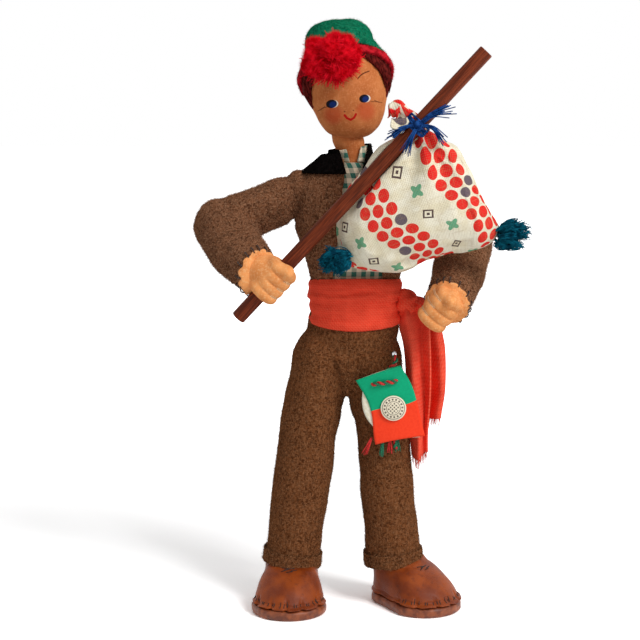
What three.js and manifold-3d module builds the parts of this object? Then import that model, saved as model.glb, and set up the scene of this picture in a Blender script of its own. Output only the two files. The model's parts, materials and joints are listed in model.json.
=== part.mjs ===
// Cloth doll of a country traveller: stuffed felt body on a bent wire armature, with cap, sash,
// staff and tied bundle. Millimetres, +Z up. The doll faces -Y and its right arm is on the -X side.
// The origin ends on the floor under the middle of its outer box.
import * as THREE from 'three';
import { mergeVertices } from 'three/addons/utils/BufferGeometryUtils.js';
import Module from 'manifold-3d';

const wasm = await Module();
wasm.setup();

// Fits
const clearance = 0.3;
const elbowClearance = 0.65;
const feltThickness = 2;
const shirtThickness = 0.8;

// Body: heights run up from the hip joints, each from the one below it
const hipHeight = 120;
const hipToWaist = 29.5;
const waistToChest = 44.5;
const chestToNeck = 19;
const waistHalfWidth = 16.6;
const waistHalfDepth = 12.2;
const chestHalfWidth = 26.6;
const chestHalfDepth = 14.6;
const neckRadius = 6.6;
const neckLength = 16;
const bodyLean = -2.6;
const jacketOpeningTop = 12.5;
const jacketOpeningBottom = 25;
const collarStandHeight = 11;
const sashHeight = 21;
const sashThickness = 2;

// Head
const headHeight = 46;
const headHalfWidth = 19.2;
const headHalfDepth = 18.4;
const headTilt = 8.9;
const hairThickness = 1;
const capThickness = 1.7;
const capBandWidth = 4.4;
const crownHalfWidth = 15.2;
const crownHalfHeight = 13;
const headOffset = 3.2;
const pompomRadius = 13;

// Arms
const chestToShoulder = 5.5;
const upperArmLength = 41;
const upperArmRadius = 11;
const elbowRadius = 12.7;
const forearmLength = 40.5;
const cuffRadius = 9.8;
const handLength = 11.5;
const fistRadius = 7.8;
const fistWidth = 18.5;
const leftHandOut = 39.5;
const leftHandForward = 34;
const leftHandBelowWaist = 1;

// Staff and bundle
const staffRadius = 3.4;
const staffLength = 163;
const staffBelowGrip = 23.6;
const gripToTie = 95.6;
const gripReach = 40.6;
const gripBelowChest = 31.7;
const gripOutside = 10.6;
const bundleHalfThickness = 14.5;
const bundleWidth = 74;
const bundleDrop = 66;
const bundleLean = 7;
const yarnRadius = 1.1;
const tasselRadius = 6.6;

// Legs and shoes
const hipSpacing = 28.2;
const hipHalfWidth = 13;
const hipRadius = 15.5;
const rightThighRadius = 14.2;
const leftThighRadius = 12.9;
const ankleRadius = 13.2;
const hemHeight = 19;
const cuffHeight = 8;
const soleThickness = 4.6;
const shoeHeight = 23;
const heelRadius = 12.5;
const toeRadius = 18;
const ankleToToe = 15.5;

// Sash tails and tag
const frontTailLength = 70;
const rearTailLength = 54;
const tailWidth = 12;
const knotRadius = 5.2;
const clothThickness = 1.4;
const tagWidth = 22;
const tagHeight = 33;
const cardThickness = 0.5;
const discRadius = 5;
const cordRadius = 0.6;
const pinHead = 1.3;

// Armature
const wireRadius = 0.8;

// Corners in one ring of the body and its layers
const bodySides = 18;

const felt = { color: 0x643e26, roughness: 0.95 };
const feltTrousers = { color: 0x5f3a22, roughness: 0.95 };
const blackFelt = { color: 0x14110f, roughness: 0.95 };
const checks = { color: 0x7fa090, roughness: 0.9 };
const skin = { color: 0xc67a48, roughness: 0.85 };
const redCloth = { color: 0xbc3826, roughness: 0.9 };
const redYarn = { color: 0xb80a18, roughness: 0.95 };
const greenFelt = { color: 0x0f6d49, roughness: 0.95 };
const hairFelt = { color: 0x4d1712, roughness: 0.95 };
const printCloth = { color: 0xf0e6d0, roughness: 0.9 };
const blueYarn = { color: 0x1f3f86, roughness: 0.9 };
const tealYarn = { color: 0x0c4a5e, roughness: 0.95 };
const staffWood = { color: 0x764732, roughness: 0.5 };
const leather = { color: 0x87421f, roughness: 0.45 };
const soleLeather = { color: 0x8a4a2c, roughness: 0.55 };
const paperGreen = { color: 0x159468, roughness: 0.6 };
const paperCream = { color: 0xe8e0c8, roughness: 0.6 };
const steel = { color: 0xb9bcc0, roughness: 0.35, metalness: 1 };
const stuffing = { color: 0xcdb692, roughness: 0.95 };

const vec = (x, y, z) => new THREE.Vector3(x, y, z);
const along = (from, to, share) => from.clone().lerp(to, share);
const radians = THREE.MathUtils.degToRad;

// Solids: every geometry becomes one closed body facing out.
function solidOf(geometry) {
  const bare = geometry.clone();
  bare.deleteAttribute('normal');
  bare.deleteAttribute('uv');
  const welded = mergeVertices(bare, 1e-4);
  const points = welded.attributes.position.array;
  const corner = (i) => vec(points[3 * i], points[3 * i + 1], points[3 * i + 2]);
  const triangles = [];
  let volume = 0;
  for (let i = 0; i < welded.index.count; i += 3) {
    const [a, b, c] = [0, 1, 2].map((k) => welded.index.getX(i + k));
    if (a === b || b === c || c === a) continue;
    triangles.push([a, b, c]);
    volume += corner(a).dot(corner(b).cross(corner(c)));
  }
  const outward = volume > 0 ? triangles : triangles.map(([a, b, c]) => [a, c, b]);
  return new wasm.Manifold(
    new wasm.Mesh({ numProp: 3, vertProperties: points, triVerts: Uint32Array.from(outward.flat()) }),
  );
}

function geometryOf(solid) {
  const mesh = solid.getMesh();
  const points = new Float32Array(3 * mesh.numVert);
  for (let i = 0; i < mesh.numVert; i++) {
    points.set(mesh.vertProperties.slice(i * mesh.numProp, i * mesh.numProp + 3), 3 * i);
  }
  const geometry = new THREE.BufferGeometry();
  geometry.setAttribute('position', new THREE.BufferAttribute(points, 3));
  geometry.setIndex(Array.from(mesh.triVerts));
  return geometry;
}

const cut = (piece, ...tools) =>
  geometryOf(tools.reduce((rest, tool) => rest.subtract(solidOf(tool)), solidOf(piece)));
const join = (...pieces) => geometryOf(pieces.map(solidOf).reduce((sum, piece) => sum.add(piece)));
const common = (...pieces) => geometryOf(pieces.map(solidOf).reduce((sum, piece) => sum.intersect(piece)));

// The largest body left after cutting, without the crumbs.
function largest(geometry) {
  const bodies = solidOf(geometry).decompose();
  return geometryOf(bodies.reduce((most, body) => (body.volume() > most.volume() ? body : most)));
}

// A loft through rings of equal length, closed by flat ends.
function loft(rings) {
  const sides = rings[0].length;
  const points = rings.flat();
  const faces = [];
  for (let r = 0; r + 1 < rings.length; r++) {
    for (let s = 0; s < sides; s++) {
      const a = r * sides + s;
      const b = r * sides + ((s + 1) % sides);
      faces.push(a, b, b + sides, a, b + sides, a + sides);
    }
  }
  for (const [first, turn] of [[0, 1], [(rings.length - 1) * sides, 0]]) {
    const ring = points.slice(first, first + sides);
    const hub = points.push(ring.reduce((sum, p) => sum.add(p), vec(0, 0, 0)).divideScalar(sides)) - 1;
    for (let s = 0; s < sides; s++) {
      const a = first + s;
      const b = first + ((s + 1) % sides);
      faces.push(hub, turn ? b : a, turn ? a : b);
    }
  }
  return new THREE.BufferGeometry().setFromPoints(points).setIndex(faces);
}

// A ring of a rounded section at height z.
function section({ z, x = 0, y = 0, a, b, power = 2.2 }, sides) {
  return Array.from({ length: sides }, (_, i) => {
    const turn = (2 * Math.PI * i) / sides;
    const bulge = (value) => Math.sign(value) * Math.abs(value) ** (2 / power);
    return vec(x + a * bulge(Math.cos(turn)), y + b * bulge(Math.sin(turn)), z);
  });
}

// A sheet of cloth or card: a grid of points given a thickness along its normals.
function sheet(pointAt, columns, rows, thickness) {
  const front = [];
  const back = [];
  for (let r = 0; r <= rows; r++) {
    for (let c = 0; c <= columns; c++) {
      const [u, v] = [c / columns, r / rows];
      const step = 0.01;
      const across = pointAt(Math.min(u + step, 1), v).sub(pointAt(Math.max(u - step, 0), v));
      const down = pointAt(u, Math.min(v + step, 1)).sub(pointAt(u, Math.max(v - step, 0)));
      const normal = across.cross(down).normalize().multiplyScalar(thickness / 2);
      front.push(pointAt(u, v).add(normal));
      back.push(pointAt(u, v).sub(normal));
    }
  }
  const count = front.length;
  const at = (c, r) => r * (columns + 1) + c;
  const faces = [];
  const quad = (a, b, c, d) => faces.push(a, b, c, a, c, d);
  for (let r = 0; r < rows; r++) {
    for (let c = 0; c < columns; c++) {
      const corners = [at(c, r), at(c, r + 1), at(c + 1, r + 1), at(c + 1, r)];
      quad(...corners);
      quad(...corners.reverse().map((i) => i + count));
    }
  }
  const border = [];
  for (let c = 0; c < columns; c++) border.push(at(c, 0));
  for (let r = 0; r < rows; r++) border.push(at(columns, r));
  for (let c = columns; c > 0; c--) border.push(at(c, rows));
  for (let r = rows; r > 0; r--) border.push(at(0, r));
  border.forEach((a, i) => {
    const b = border[(i + 1) % border.length];
    quad(a, b, b + count, a + count);
  });
  return new THREE.BufferGeometry().setFromPoints([...front, ...back]).setIndex(faces);
}

// A body turned about Y: pairs of radius and place along the axis.
const turned = (profile, sides = 14) =>
  new THREE.LatheGeometry(profile.map(([r, s]) => new THREE.Vector2(r, s)), sides);

function smoothProfile(pairs, count) {
  const curve = new THREE.SplineCurve(pairs.map(([r, s]) => new THREE.Vector2(r, s)));
  return curve.getPoints(count).map((p) => [Math.max(p.x, 0), p.y]);
}

const box = (x0, x1, y0, y1, z0, z1) =>
  new THREE.BoxGeometry(x1 - x0, y1 - y0, z1 - z0).translate((x0 + x1) / 2, (y0 + y1) / 2, (z0 + z1) / 2);

// A flat outline in X and Z, carried through y0 to y1.
function prism(outline, y0, y1) {
  const shape = new THREE.Shape(outline.map(([x, z]) => new THREE.Vector2(x, z)));
  const geometry = new THREE.ExtrudeGeometry(shape, { depth: y1 - y0, bevelEnabled: false });
  return geometry.rotateX(Math.PI / 2).translate(0, y1, 0);
}

// A round wire or yarn along a smooth path.
function strand(points, radius, sides = 8, steps = 12) {
  const path = new THREE.CatmullRomCurve3(points);
  const shape = new THREE.Shape().absarc(0, 0, radius, 0, 2 * Math.PI);
  return new THREE.ExtrudeGeometry(shape, {
    extrudePath: path,
    steps,
    curveSegments: sides / 2,
    bevelEnabled: false,
  });
}

// A limb's frame: its own Y runs from one point to another.
function limbFrame(from, to) {
  const direction = to.clone().sub(from).normalize();
  const turn = new THREE.Quaternion().setFromUnitVectors(vec(0, 1, 0), direction);
  return new THREE.Matrix4().compose(from, turn, vec(1, 1, 1));
}

const placed = (geometry, frame) => geometry.clone().applyMatrix4(frame);
const seenFrom = (geometry, frame) => geometry.clone().applyMatrix4(frame.clone().invert());

const doll = new THREE.Group();
doll.name = 'cloth_doll';
const joints = [];

function assembly(name, frame = new THREE.Matrix4(), parent = doll) {
  const group = new THREE.Group();
  group.name = name;
  group.applyMatrix4(frame);
  parent.add(group);
  return group;
}

function piece(parent, name, geometry, look) {
  const mesh = new THREE.Mesh(geometryOf(solidOf(geometry)), new THREE.MeshStandardMaterial(look));
  mesh.geometry.computeVertexNormals();
  mesh.name = name;
  parent.add(mesh);
  return mesh;
}

function joint(name, point, axis) {
  joints.push({ name, point: point.clone(), axis: axis.clone().normalize() });
}

const waistHeight = hipHeight + hipToWaist;
const chestHeight = waistHeight + waistToChest;
const shoulderHeight = chestHeight + chestToShoulder;
const neckBaseHeight = chestHeight + chestToNeck;

// Cutting blocks reach this far past everything they cut.
const beyond = 80;
const overhead = neckBaseHeight + beyond;

// Layers over the stuffed body, from the shirt out.
const shirtIn = clearance;
const shirtOut = shirtIn + shirtThickness;
const jacketIn = shirtOut + clearance;
const jacketOut = jacketIn + feltThickness;
const collarIn = jacketOut + clearance;
const collarOut = collarIn + feltThickness * 0.7;
const sashIn = jacketOut + clearance;
const sashOut = sashIn + sashThickness;

// The stuffed body swells from the waist to the chest and closes at the neck.
const bodyShape = [
  { at: 0, wide: 0, deep: 0, x: 1 },
  { at: 0.2, wide: 0.12, deep: 0.2, x: 0.9 },
  { at: 0.5, wide: 0.48, deep: 0.65, x: 0.4 },
  { at: 0.8, wide: 0.86, deep: 1, x: 0 },
  { at: 1, wide: 1, deep: 1, x: -0.3 },
];
const shoulderShape = [
  { up: 0.4, share: 0.88, rise: 0.2 },
  { up: 0.68, share: 0.58, rise: 0.5 },
  { up: 0.88, share: 0.22, rise: 0.8 },
  { up: 1, share: 0.05, rise: 0.9 },
];

function bodySolid(grow, bottom = waistHeight) {
  const sections = bodyShape.map(({ at, wide, deep, x }) => ({
    z: THREE.MathUtils.lerp(waistHeight, chestHeight, at),
    x,
    a: THREE.MathUtils.lerp(waistHalfWidth, chestHalfWidth, wide) + grow,
    b: THREE.MathUtils.lerp(waistHalfDepth, chestHalfDepth, deep) + grow,
  }));
  if (bottom < waistHeight) sections.unshift({ ...sections[0], z: bottom });
  for (const { up, share, rise } of shoulderShape) {
    sections.push({
      z: THREE.MathUtils.lerp(chestHeight, neckBaseHeight, up) + rise * grow,
      x: bodyLean * up,
      a: THREE.MathUtils.lerp(neckRadius, chestHalfWidth, share) + grow,
      b: THREE.MathUtils.lerp(neckRadius, chestHalfDepth, Math.sqrt(share)) + grow,
    });
  }
  return loft(sections.map((s) => section(s, bodySides)));
}

const bodyLayer = (inner, outer, bottom) => cut(bodySolid(outer, bottom), bodySolid(inner, bottom - 1));

// Head frame: at the top of the neck, leaning to the doll's right.
const neckTop = vec(bodyLean, 0, neckBaseHeight + neckLength - 3.5);
const headFrame = new THREE.Matrix4().compose(
  neckTop,
  new THREE.Quaternion().setFromAxisAngle(vec(0, 1, 0), -radians(headTilt)),
  vec(1, 1, 1),
);
const neckAxis = vec(0, 0, 1).transformDirection(headFrame);
const socketDepth = 6;

const neckSolid = (grow) =>
  turned([
    [0, -neckLength - grow],
    [neckRadius * 1.1 + grow, -neckLength - grow],
    [neckRadius + grow, -3],
    [neckRadius * 0.95 + grow, socketDepth + grow],
    [0, socketDepth + grow],
  ]).rotateX(Math.PI / 2);

// The head is an egg, broader above, with the chin set a little forward.
function headSolid(grow) {
  const steps = 10;
  const profile = Array.from({ length: steps + 1 }, (_, i) => {
    const turn = (Math.PI * i) / steps;
    const radius = Math.abs(Math.sin(turn)) ** 0.86 * (1 - 0.11 * Math.cos(turn));
    return [i % steps ? headHalfWidth * radius + grow : 0, (headHeight / 2) * (1 - Math.cos(turn))];
  });
  profile[0][1] -= grow;
  profile[steps][1] += grow;
  const egg = turned(profile, 20).rotateX(Math.PI / 2);
  egg.scale(1, (headHalfDepth + grow) / (headHalfWidth + grow), 1);
  const place = egg.attributes.position;
  for (let i = 0; i < place.count; i++) {
    const low = Math.max(0, 1 - place.getZ(i) / headHeight);
    place.setY(i, place.getY(i) - 2.4 * low ** 2);
  }
  return egg.translate(headOffset, 0, 0);
}

// Arms: the wrist stays on the grip and the elbow follows from the two arm lengths.
function elbowPoint(shoulder, wrist, pole) {
  const span = wrist.clone().sub(shoulder);
  const reach = span.length();
  const onSpan = (upperArmLength ** 2 - forearmLength ** 2 + reach ** 2) / (2 * reach);
  const off = Math.sqrt(Math.max(upperArmLength ** 2 - onSpan ** 2, 1));
  const axis = span.normalize();
  const side = pole.clone().addScaledVector(axis, -pole.dot(axis)).normalize();
  return shoulder.clone().addScaledVector(axis, onSpan).addScaledVector(side, off);
}

const shoulderInset = 2.2;
const shoulderX = chestHalfWidth - shoulderInset;

// The grip lies before the chest, far enough out for the bundle to clear the jacket.
const grip = vec(-chestHalfWidth - gripOutside, -gripReach, chestHeight - gripBelowChest);
const staffWay = vec(0.674, -0.095, 0.733).normalize();
const staffFrame = limbFrame(grip, grip.clone().add(staffWay));
const tiePoint = grip.clone().addScaledVector(staffWay, gripToTie);

const rightShoulder = vec(-shoulderX - 0.8, 0, shoulderHeight);
const rightWrist = grip.clone().addScaledVector(vec(-0.72, 0.52, 0.46).normalize(), handLength);
const rightElbow = elbowPoint(rightShoulder, rightWrist, vec(-1, 0.35, -0.14));

const leftShoulder = vec(shoulderX - 0.8, 0, shoulderHeight);
const leftFist = vec(leftHandOut, -leftHandForward, waistHeight - leftHandBelowWaist);
const leftHandWay = vec(-0.46, -0.66, -0.55).normalize();
const leftWrist = leftFist.clone().addScaledVector(leftHandWay, -handLength);
const leftElbow = elbowPoint(leftShoulder, leftWrist, vec(0.9, 0.5, -0.55));

const upperArmSolid = (grow) =>
  turned(
    smoothProfile(
      [
        [0, -grow],
        [upperArmRadius * 0.75 + grow, 0.8 - grow],
        [upperArmRadius * 0.96 + grow, 4.5],
        [upperArmRadius + grow, upperArmLength * 0.5],
        [upperArmRadius * 1.08 + grow, upperArmLength - 3],
        [upperArmRadius * 0.8 + grow, upperArmLength + 2],
        [0, upperArmLength + 3],
      ],
      10,
    ),
  );

const forearmSolid = (grow) => {
  const ball = Array.from({ length: 5 }, (_, i) => {
    const turn = (Math.PI / 2) * (i / 4);
    return [(elbowRadius + grow) * Math.sin(turn), -(elbowRadius + grow) * Math.cos(turn)];
  });
  ball[0][0] = 0;
  const sleeve = smoothProfile(
    [
      [elbowRadius + grow, 0],
      [elbowRadius * 0.99 + grow, forearmLength * 0.4],
      [cuffRadius * 1.12 + grow, forearmLength * 0.78],
      [cuffRadius + grow, forearmLength],
    ],
    4,
  );
  return turned([...ball, ...sleeve.slice(1), [0, forearmLength]]);
};

// A fist: a palm on the wrist and four fingers rolled side by side, with the thumb across.
function fistSolid(wrist, centre, fingerWay) {
  const palmLength = wrist.distanceTo(centre);
  const palm = turned(
    smoothProfile(
      [
        [0, clearance],
        [cuffRadius * 0.8, clearance],
        [fistRadius * 1.06, palmLength * 0.5],
        [fistRadius * 0.9, palmLength + 2],
        [0, palmLength + fistRadius * 0.75],
      ],
      7,
    ),
    12,
  );
  const fingers = 4;
  const rolls = [[0, -fistWidth / 2]];
  for (let i = 0; i <= fingers * 3; i++) {
    const crest = i % 3 ? 1 : 0;
    const valley = i === 0 || i === fingers * 3 ? 0.7 : 0.84;
    rolls.push([fistRadius * (crest || valley), fistWidth * (i / (fingers * 3) - 0.5)]);
  }
  rolls.push([0, fistWidth / 2]);
  const fingerFrame = limbFrame(centre, centre.clone().add(fingerWay));
  const side = centre.clone().sub(wrist).normalize();
  const outer = vec(0, -1, 0);
  const thumbRoot = along(wrist, centre, 0.45).addScaledVector(fingerWay, fistWidth * 0.36);
  const thumbTip = centre.clone().addScaledVector(fingerWay, fistWidth * 0.42);
  thumbTip.addScaledVector(outer, fistRadius * 0.6).addScaledVector(side, fistRadius * 0.35);
  const thumbLength = thumbRoot.distanceTo(thumbTip);
  const thumb = turned([
    [0, -3.4],
    [2.6, -2.4],
    [3.6, 0],
    [3.2, thumbLength],
    [2.2, thumbLength + 2.2],
    [0, thumbLength + 3],
  ], 8);
  return join(
    placed(palm, limbFrame(wrist, centre)),
    placed(turned(rolls, 12), fingerFrame),
    placed(thumb, limbFrame(thumbRoot, thumbTip)),
  );
}

const staffSolid = (grow) =>
  turned(
    [
      [0, -staffBelowGrip - grow],
      [staffRadius * 0.8 + grow, -staffBelowGrip - grow],
      [staffRadius + grow, -staffBelowGrip + 1],
      [staffRadius + grow, staffLength - staffBelowGrip - 1],
      [staffRadius * 0.8 + grow, staffLength - staffBelowGrip + grow],
      [0, staffLength - staffBelowGrip + grow],
    ],
    12,
  );

// Armature: straight wires that stop short of each bend, in bores a clearance wider.
const wireEnd = 1.6;
const spinePath = [
  vec(0.8, 3.4, waistHeight - 6),
  vec(0.3, 3.4, (waistHeight + chestHeight) / 2),
  vec(-0.6, 3.4, chestHeight + 4),
  neckTop.clone().addScaledVector(neckAxis, -neckLength + 1),
  neckTop.clone().addScaledVector(neckAxis, 1),
];
const shoulderBar = [along(rightShoulder, leftShoulder, 0.04), along(rightShoulder, leftShoulder, 0.96)];
const hipMiddle = bodyLean - 0.1;
const rightHip = vec(hipMiddle - hipSpacing / 2, 0, hipHeight);
const leftHip = vec(hipMiddle + hipSpacing / 2, 0, hipHeight);
const bore = (wire) => strand(wire, wireRadius + clearance, 8, wire.length > 2 ? 12 : 1);
const wireSolid = (wire) => strand(wire, wireRadius, 8, wire.length > 2 ? 12 : 1);
const longer = ([from, to], start, end) => {
  const way = to.clone().sub(from).normalize();
  return [from.clone().addScaledVector(way, -start), to.clone().addScaledVector(way, end)];
};

// Body
const torso = assembly('torso');
const rightArmFrame = limbFrame(rightShoulder, rightElbow);
const leftArmFrame = limbFrame(leftShoulder, leftElbow);
const rightArmhole = placed(upperArmSolid(clearance), rightArmFrame);
const leftArmhole = placed(upperArmSolid(clearance), leftArmFrame);
const neckHole = placed(neckSolid(clearance), headFrame);

const spineBore = bore([spinePath[0].clone().setZ(waistHeight - 8), ...spinePath.slice(1)]);
const shoulderBore = bore(longer(shoulderBar, 4, 4));
piece(
  torso,
  'torso_stuffing',
  cut(bodySolid(0), rightArmhole, leftArmhole, neckHole, spineBore, shoulderBore),
  stuffing,
);
piece(torso, 'spine_wire', wireSolid(spinePath), steel);
piece(torso, 'shoulder_wire', wireSolid(shoulderBar), steel);
piece(
  torso,
  'neck',
  placed(cut(neckSolid(0), seenFrom(bore(spinePath), headFrame)), headFrame),
  skin,
);

// Shirt: one panel behind the jacket's opening and a small collar round the neck.
const openingMiddle = 1.8;
const hemUnderSash = waistHeight + 1;
const overlap = 4;
const openingEdge = (side, spare) => [
  [openingMiddle + side * (jacketOpeningTop / 2 + spare), neckBaseHeight + 6],
  [openingMiddle + side * (jacketOpeningTop / 2 + spare), neckBaseHeight - 4],
  [openingMiddle + side * (jacketOpeningBottom / 2 + spare), hemUnderSash],
];
const shirtOutline = [...openingEdge(-1, overlap), ...openingEdge(1, overlap).reverse()];
const shirtRegion = prism(shirtOutline, -beyond, -3);
piece(
  torso,
  'shirt_front',
  cut(common(bodyLayer(shirtIn, shirtOut, waistHeight), shirtRegion), rightArmhole, leftArmhole, neckHole),
  checks,
);

const jacketLayer = cut(bodyLayer(jacketIn, jacketOut, hemUnderSash), rightArmhole, leftArmhole, neckHole);
const seamGap = clearance / 2;
const frontRegion = (side) => {
  const outerEdge = [[side * beyond, hemUnderSash], [side * beyond, neckBaseHeight + 6]];
  return prism([...openingEdge(side, 0), ...outerEdge], -beyond, -seamGap);
};
const necklineRadius = neckRadius + 4;
const necklineProfile = [[0, -beyond], [necklineRadius, -beyond], [necklineRadius, beyond], [0, beyond]];
const neckline = placed(turned(necklineProfile).rotateX(Math.PI / 2), headFrame);
const jacketTop = cut(jacketLayer, neckline);
piece(torso, 'jacket_front_right', common(jacketTop, frontRegion(-1)), felt);
piece(torso, 'jacket_front_left', common(jacketTop, frontRegion(1)), felt);
const backRegion = box(-beyond, beyond, seamGap, beyond, hemUnderSash, overhead);
piece(torso, 'jacket_back', common(jacketTop, backRegion), felt);

// Collars: a checked band round the neck inside a black felt one that lies over the shoulders.
const bandSolid = (inner, outer, low, high) => {
  const profile = [[inner, low], [outer, low], [outer - 0.4, high], [inner, high], [inner, low]];
  return placed(turned(profile, 18).rotateX(Math.PI / 2), headFrame);
};
const shirtBandIn = neckRadius * 1.1 + 2 * clearance;
const shirtBandOut = shirtBandIn + 1.2;
const standIn = shirtBandOut + clearance;
const standOut = standIn + feltThickness * 0.8;
const bandTop = -4.4;
const bandLow = bandTop - collarStandHeight;
const notchMiddle = openingMiddle - 2;
const notchTop = neckBaseHeight + 24;
const frontNotch = (halfWidth, low) => {
  const corners = [notchMiddle + halfWidth, notchMiddle - halfWidth].map((x) => [x, notchTop]);
  return prism([[notchMiddle, low], ...corners], -beyond, 0);
};
piece(
  torso,
  'shirt_collar',
  cut(
    bandSolid(shirtBandIn, shirtBandOut, bandLow + 2, bandTop - 0.6),
    frontNotch(7.5, neckBaseHeight - 5),
    bodySolid(shirtOut + clearance),
  ),
  checks,
);
const yokeRegion = join(
  box(-beyond, beyond, -beyond, 0, neckBaseHeight - 4, overhead),
  box(-beyond, beyond, -1, beyond, neckBaseHeight - 7.5, overhead),
);
const yoke = common(bodyLayer(collarIn, collarOut, chestHeight), yokeRegion);
piece(
  torso,
  'felt_collar',
  largest(
    cut(
      join(yoke, bandSolid(standIn, standOut, bandLow, bandTop)),
      frontNotch(12, neckBaseHeight - 14),
      bodySolid(jacketOut + clearance),
      bandSolid(0.01, shirtBandOut + clearance, -beyond, 5),
      rightArmhole,
      leftArmhole,
    ),
  ),
  blackFelt,
);

// Head
const head = assembly('head', headFrame);
const headBody = headSolid(0);
piece(head, 'head_stuffed', cut(headBody, neckSolid(clearance)), skin);
const faceOpening = turned([[0, 0], [1, 0], [1, beyond], [0, beyond]], 24).rotateX(Math.PI);
faceOpening.scale(headHalfWidth * 0.95, 1, headHeight * 0.47);
faceOpening.translate(headOffset, 0, headHeight * 0.38);
const hairIn = clearance;
const hairOut = hairIn + hairThickness;
const nape = headHeight * 0.3;
const belowNape = box(-beyond, beyond, -beyond, beyond, -beyond, nape);
piece(
  head,
  'hair',
  cut(headSolid(hairOut), headSolid(hairIn), faceOpening, belowNape),
  hairFelt,
);

// Cap: a rolled band set high over the brow and low at the back, and a soft crown that leans over it.
const capIn = hairOut + clearance;
const capOut = capIn + capThickness;
const capSlope = 34;
const capMiddle = headHeight * 0.645;
const capFrame = new THREE.Matrix4().compose(
  vec(0, 0, capMiddle),
  new THREE.Quaternion().setFromAxisAngle(vec(1, 0, 0), -radians(capSlope)),
  vec(1, 1, 1),
);
const slab = (low, high) => placed(box(-beyond, beyond, -beyond, beyond, low, high), capFrame);
const bandOut = capOut + 0.6;
const bandLayer = cut(headSolid(bandOut), headSolid(capIn));
piece(head, 'cap_band', common(bandLayer, slab(-capBandWidth / 2, capBandWidth / 2)), redYarn);
const sack = (grow) =>
  new THREE.SphereGeometry(1, 16, 9)
    .rotateX(Math.PI / 2)
    .scale(crownHalfWidth + grow, crownHalfWidth + grow, crownHalfHeight + grow)
    .translate(headOffset - 0.8, 2, headHeight - 4);
piece(
  head,
  'cap_crown',
  cut(
    common(join(headSolid(capOut), sack(0)), slab(capBandWidth / 2 + clearance, beyond)),
    headSolid(capIn),
  ),
  greenFelt,
);
const pompomBall = new THREE.IcosahedronGeometry(pompomRadius, 2);
pompomBall.scale(1.06, 0.8, 0.94);
pompomBall.translate(headOffset - 5.8, -headHalfDepth - 5.5, headHeight * 0.84);
piece(head, 'pompom', cut(pompomBall, headSolid(bandOut + clearance), sack(clearance)), redYarn);
joint('head_turn', neckTop, neckAxis);

// Arms
function arm(side, shoulder, elbow, wrist, centre, fingerWay, opening, gripped) {
  const upperFrame = limbFrame(shoulder, elbow);
  const lowerFrame = limbFrame(elbow, wrist);
  const upper = assembly(`${side}_upper_arm`, upperFrame);
  const lower = assembly(`${side}_forearm`, lowerFrame);
  const upperWire = [vec(0, wireEnd, 0), vec(0, upperArmLength - wireEnd, 0)];
  const lowerWire = [vec(0, wireEnd, 0), vec(0, forearmLength - 2, 0)];
  const elbowHollow = seenFrom(placed(forearmSolid(elbowClearance), lowerFrame), upperFrame);
  piece(
    upper,
    `${side}_upper_sleeve`,
    cut(upperArmSolid(0), elbowHollow, bore(longer(upperWire, 4, 4))),
    felt,
  );
  piece(upper, `${side}_upper_arm_wire`, cut(wireSolid(upperWire), elbowHollow), steel);
  piece(lower, `${side}_lower_sleeve`, cut(forearmSolid(0), bore(longer(lowerWire, 0, 6))), felt);
  piece(lower, `${side}_forearm_wire`, wireSolid(lowerWire), steel);
  const fist = fistSolid(wrist, centre, fingerWay);
  const hand = gripped ? cut(fist, gripped) : fist;
  const sleeve = placed(forearmSolid(clearance), lowerFrame);
  piece(lower, `${side}_hand`, seenFrom(cut(hand, sleeve), lowerFrame), skin);
  joint(`${side}_shoulder`, shoulder, elbow.clone().sub(shoulder));
  joint(`${side}_elbow`, elbow, opening);
}

// The right elbow opens level, carrying the bundle forward; the left one straightens in its own plane.
const gripHole = placed(staffSolid(clearance), staffFrame);
const leftOpening = leftWrist.clone().sub(leftElbow).cross(leftElbow.clone().sub(leftShoulder));
arm('right', rightShoulder, rightElbow, rightWrist, grip, staffWay, vec(0, 0, -1), gripHole);
arm('left', leftShoulder, leftElbow, leftWrist, leftFist, vec(0.62, -0.2, 0.76).normalize(), leftOpening);

// Staff and bundle
const staff = assembly('staff_group', staffFrame);
piece(staff, 'staff', staffSolid(0), staffWood);
joint('staff_slide', grip, staffWay);

const bundleNeckRadius = 4.6;
const tieCentre = tiePoint.clone().add(vec(0, staffRadius + bundleNeckRadius * 0.8, 0));
const bundle = assembly('bundle', new THREE.Matrix4().makeTranslation(tieCentre));
const bundleInverse = new THREE.Matrix4().makeTranslation(tieCentre).invert();
const staffHole = placed(staffSolid(clearance), staffFrame).applyMatrix4(bundleInverse);

// The bag is pressed in where the staff lies across it.
const slotHalf = staffRadius + clearance;
const slotBox = new THREE.BoxGeometry(2 * slotHalf, staffLength * 1.1, beyond);
slotBox.translate(0, staffLength * 0.4, -beyond / 2);
const slotBack = vec(0, 1, 0).addScaledVector(staffWay, -staffWay.y).normalize();
const slotAcross = staffWay.clone().cross(slotBack);
const slotFrame = new THREE.Matrix4().makeBasis(slotAcross, staffWay, slotBack).setPosition(grip);
const staffSlot = placed(slotBox, slotFrame).applyMatrix4(bundleInverse);

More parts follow.
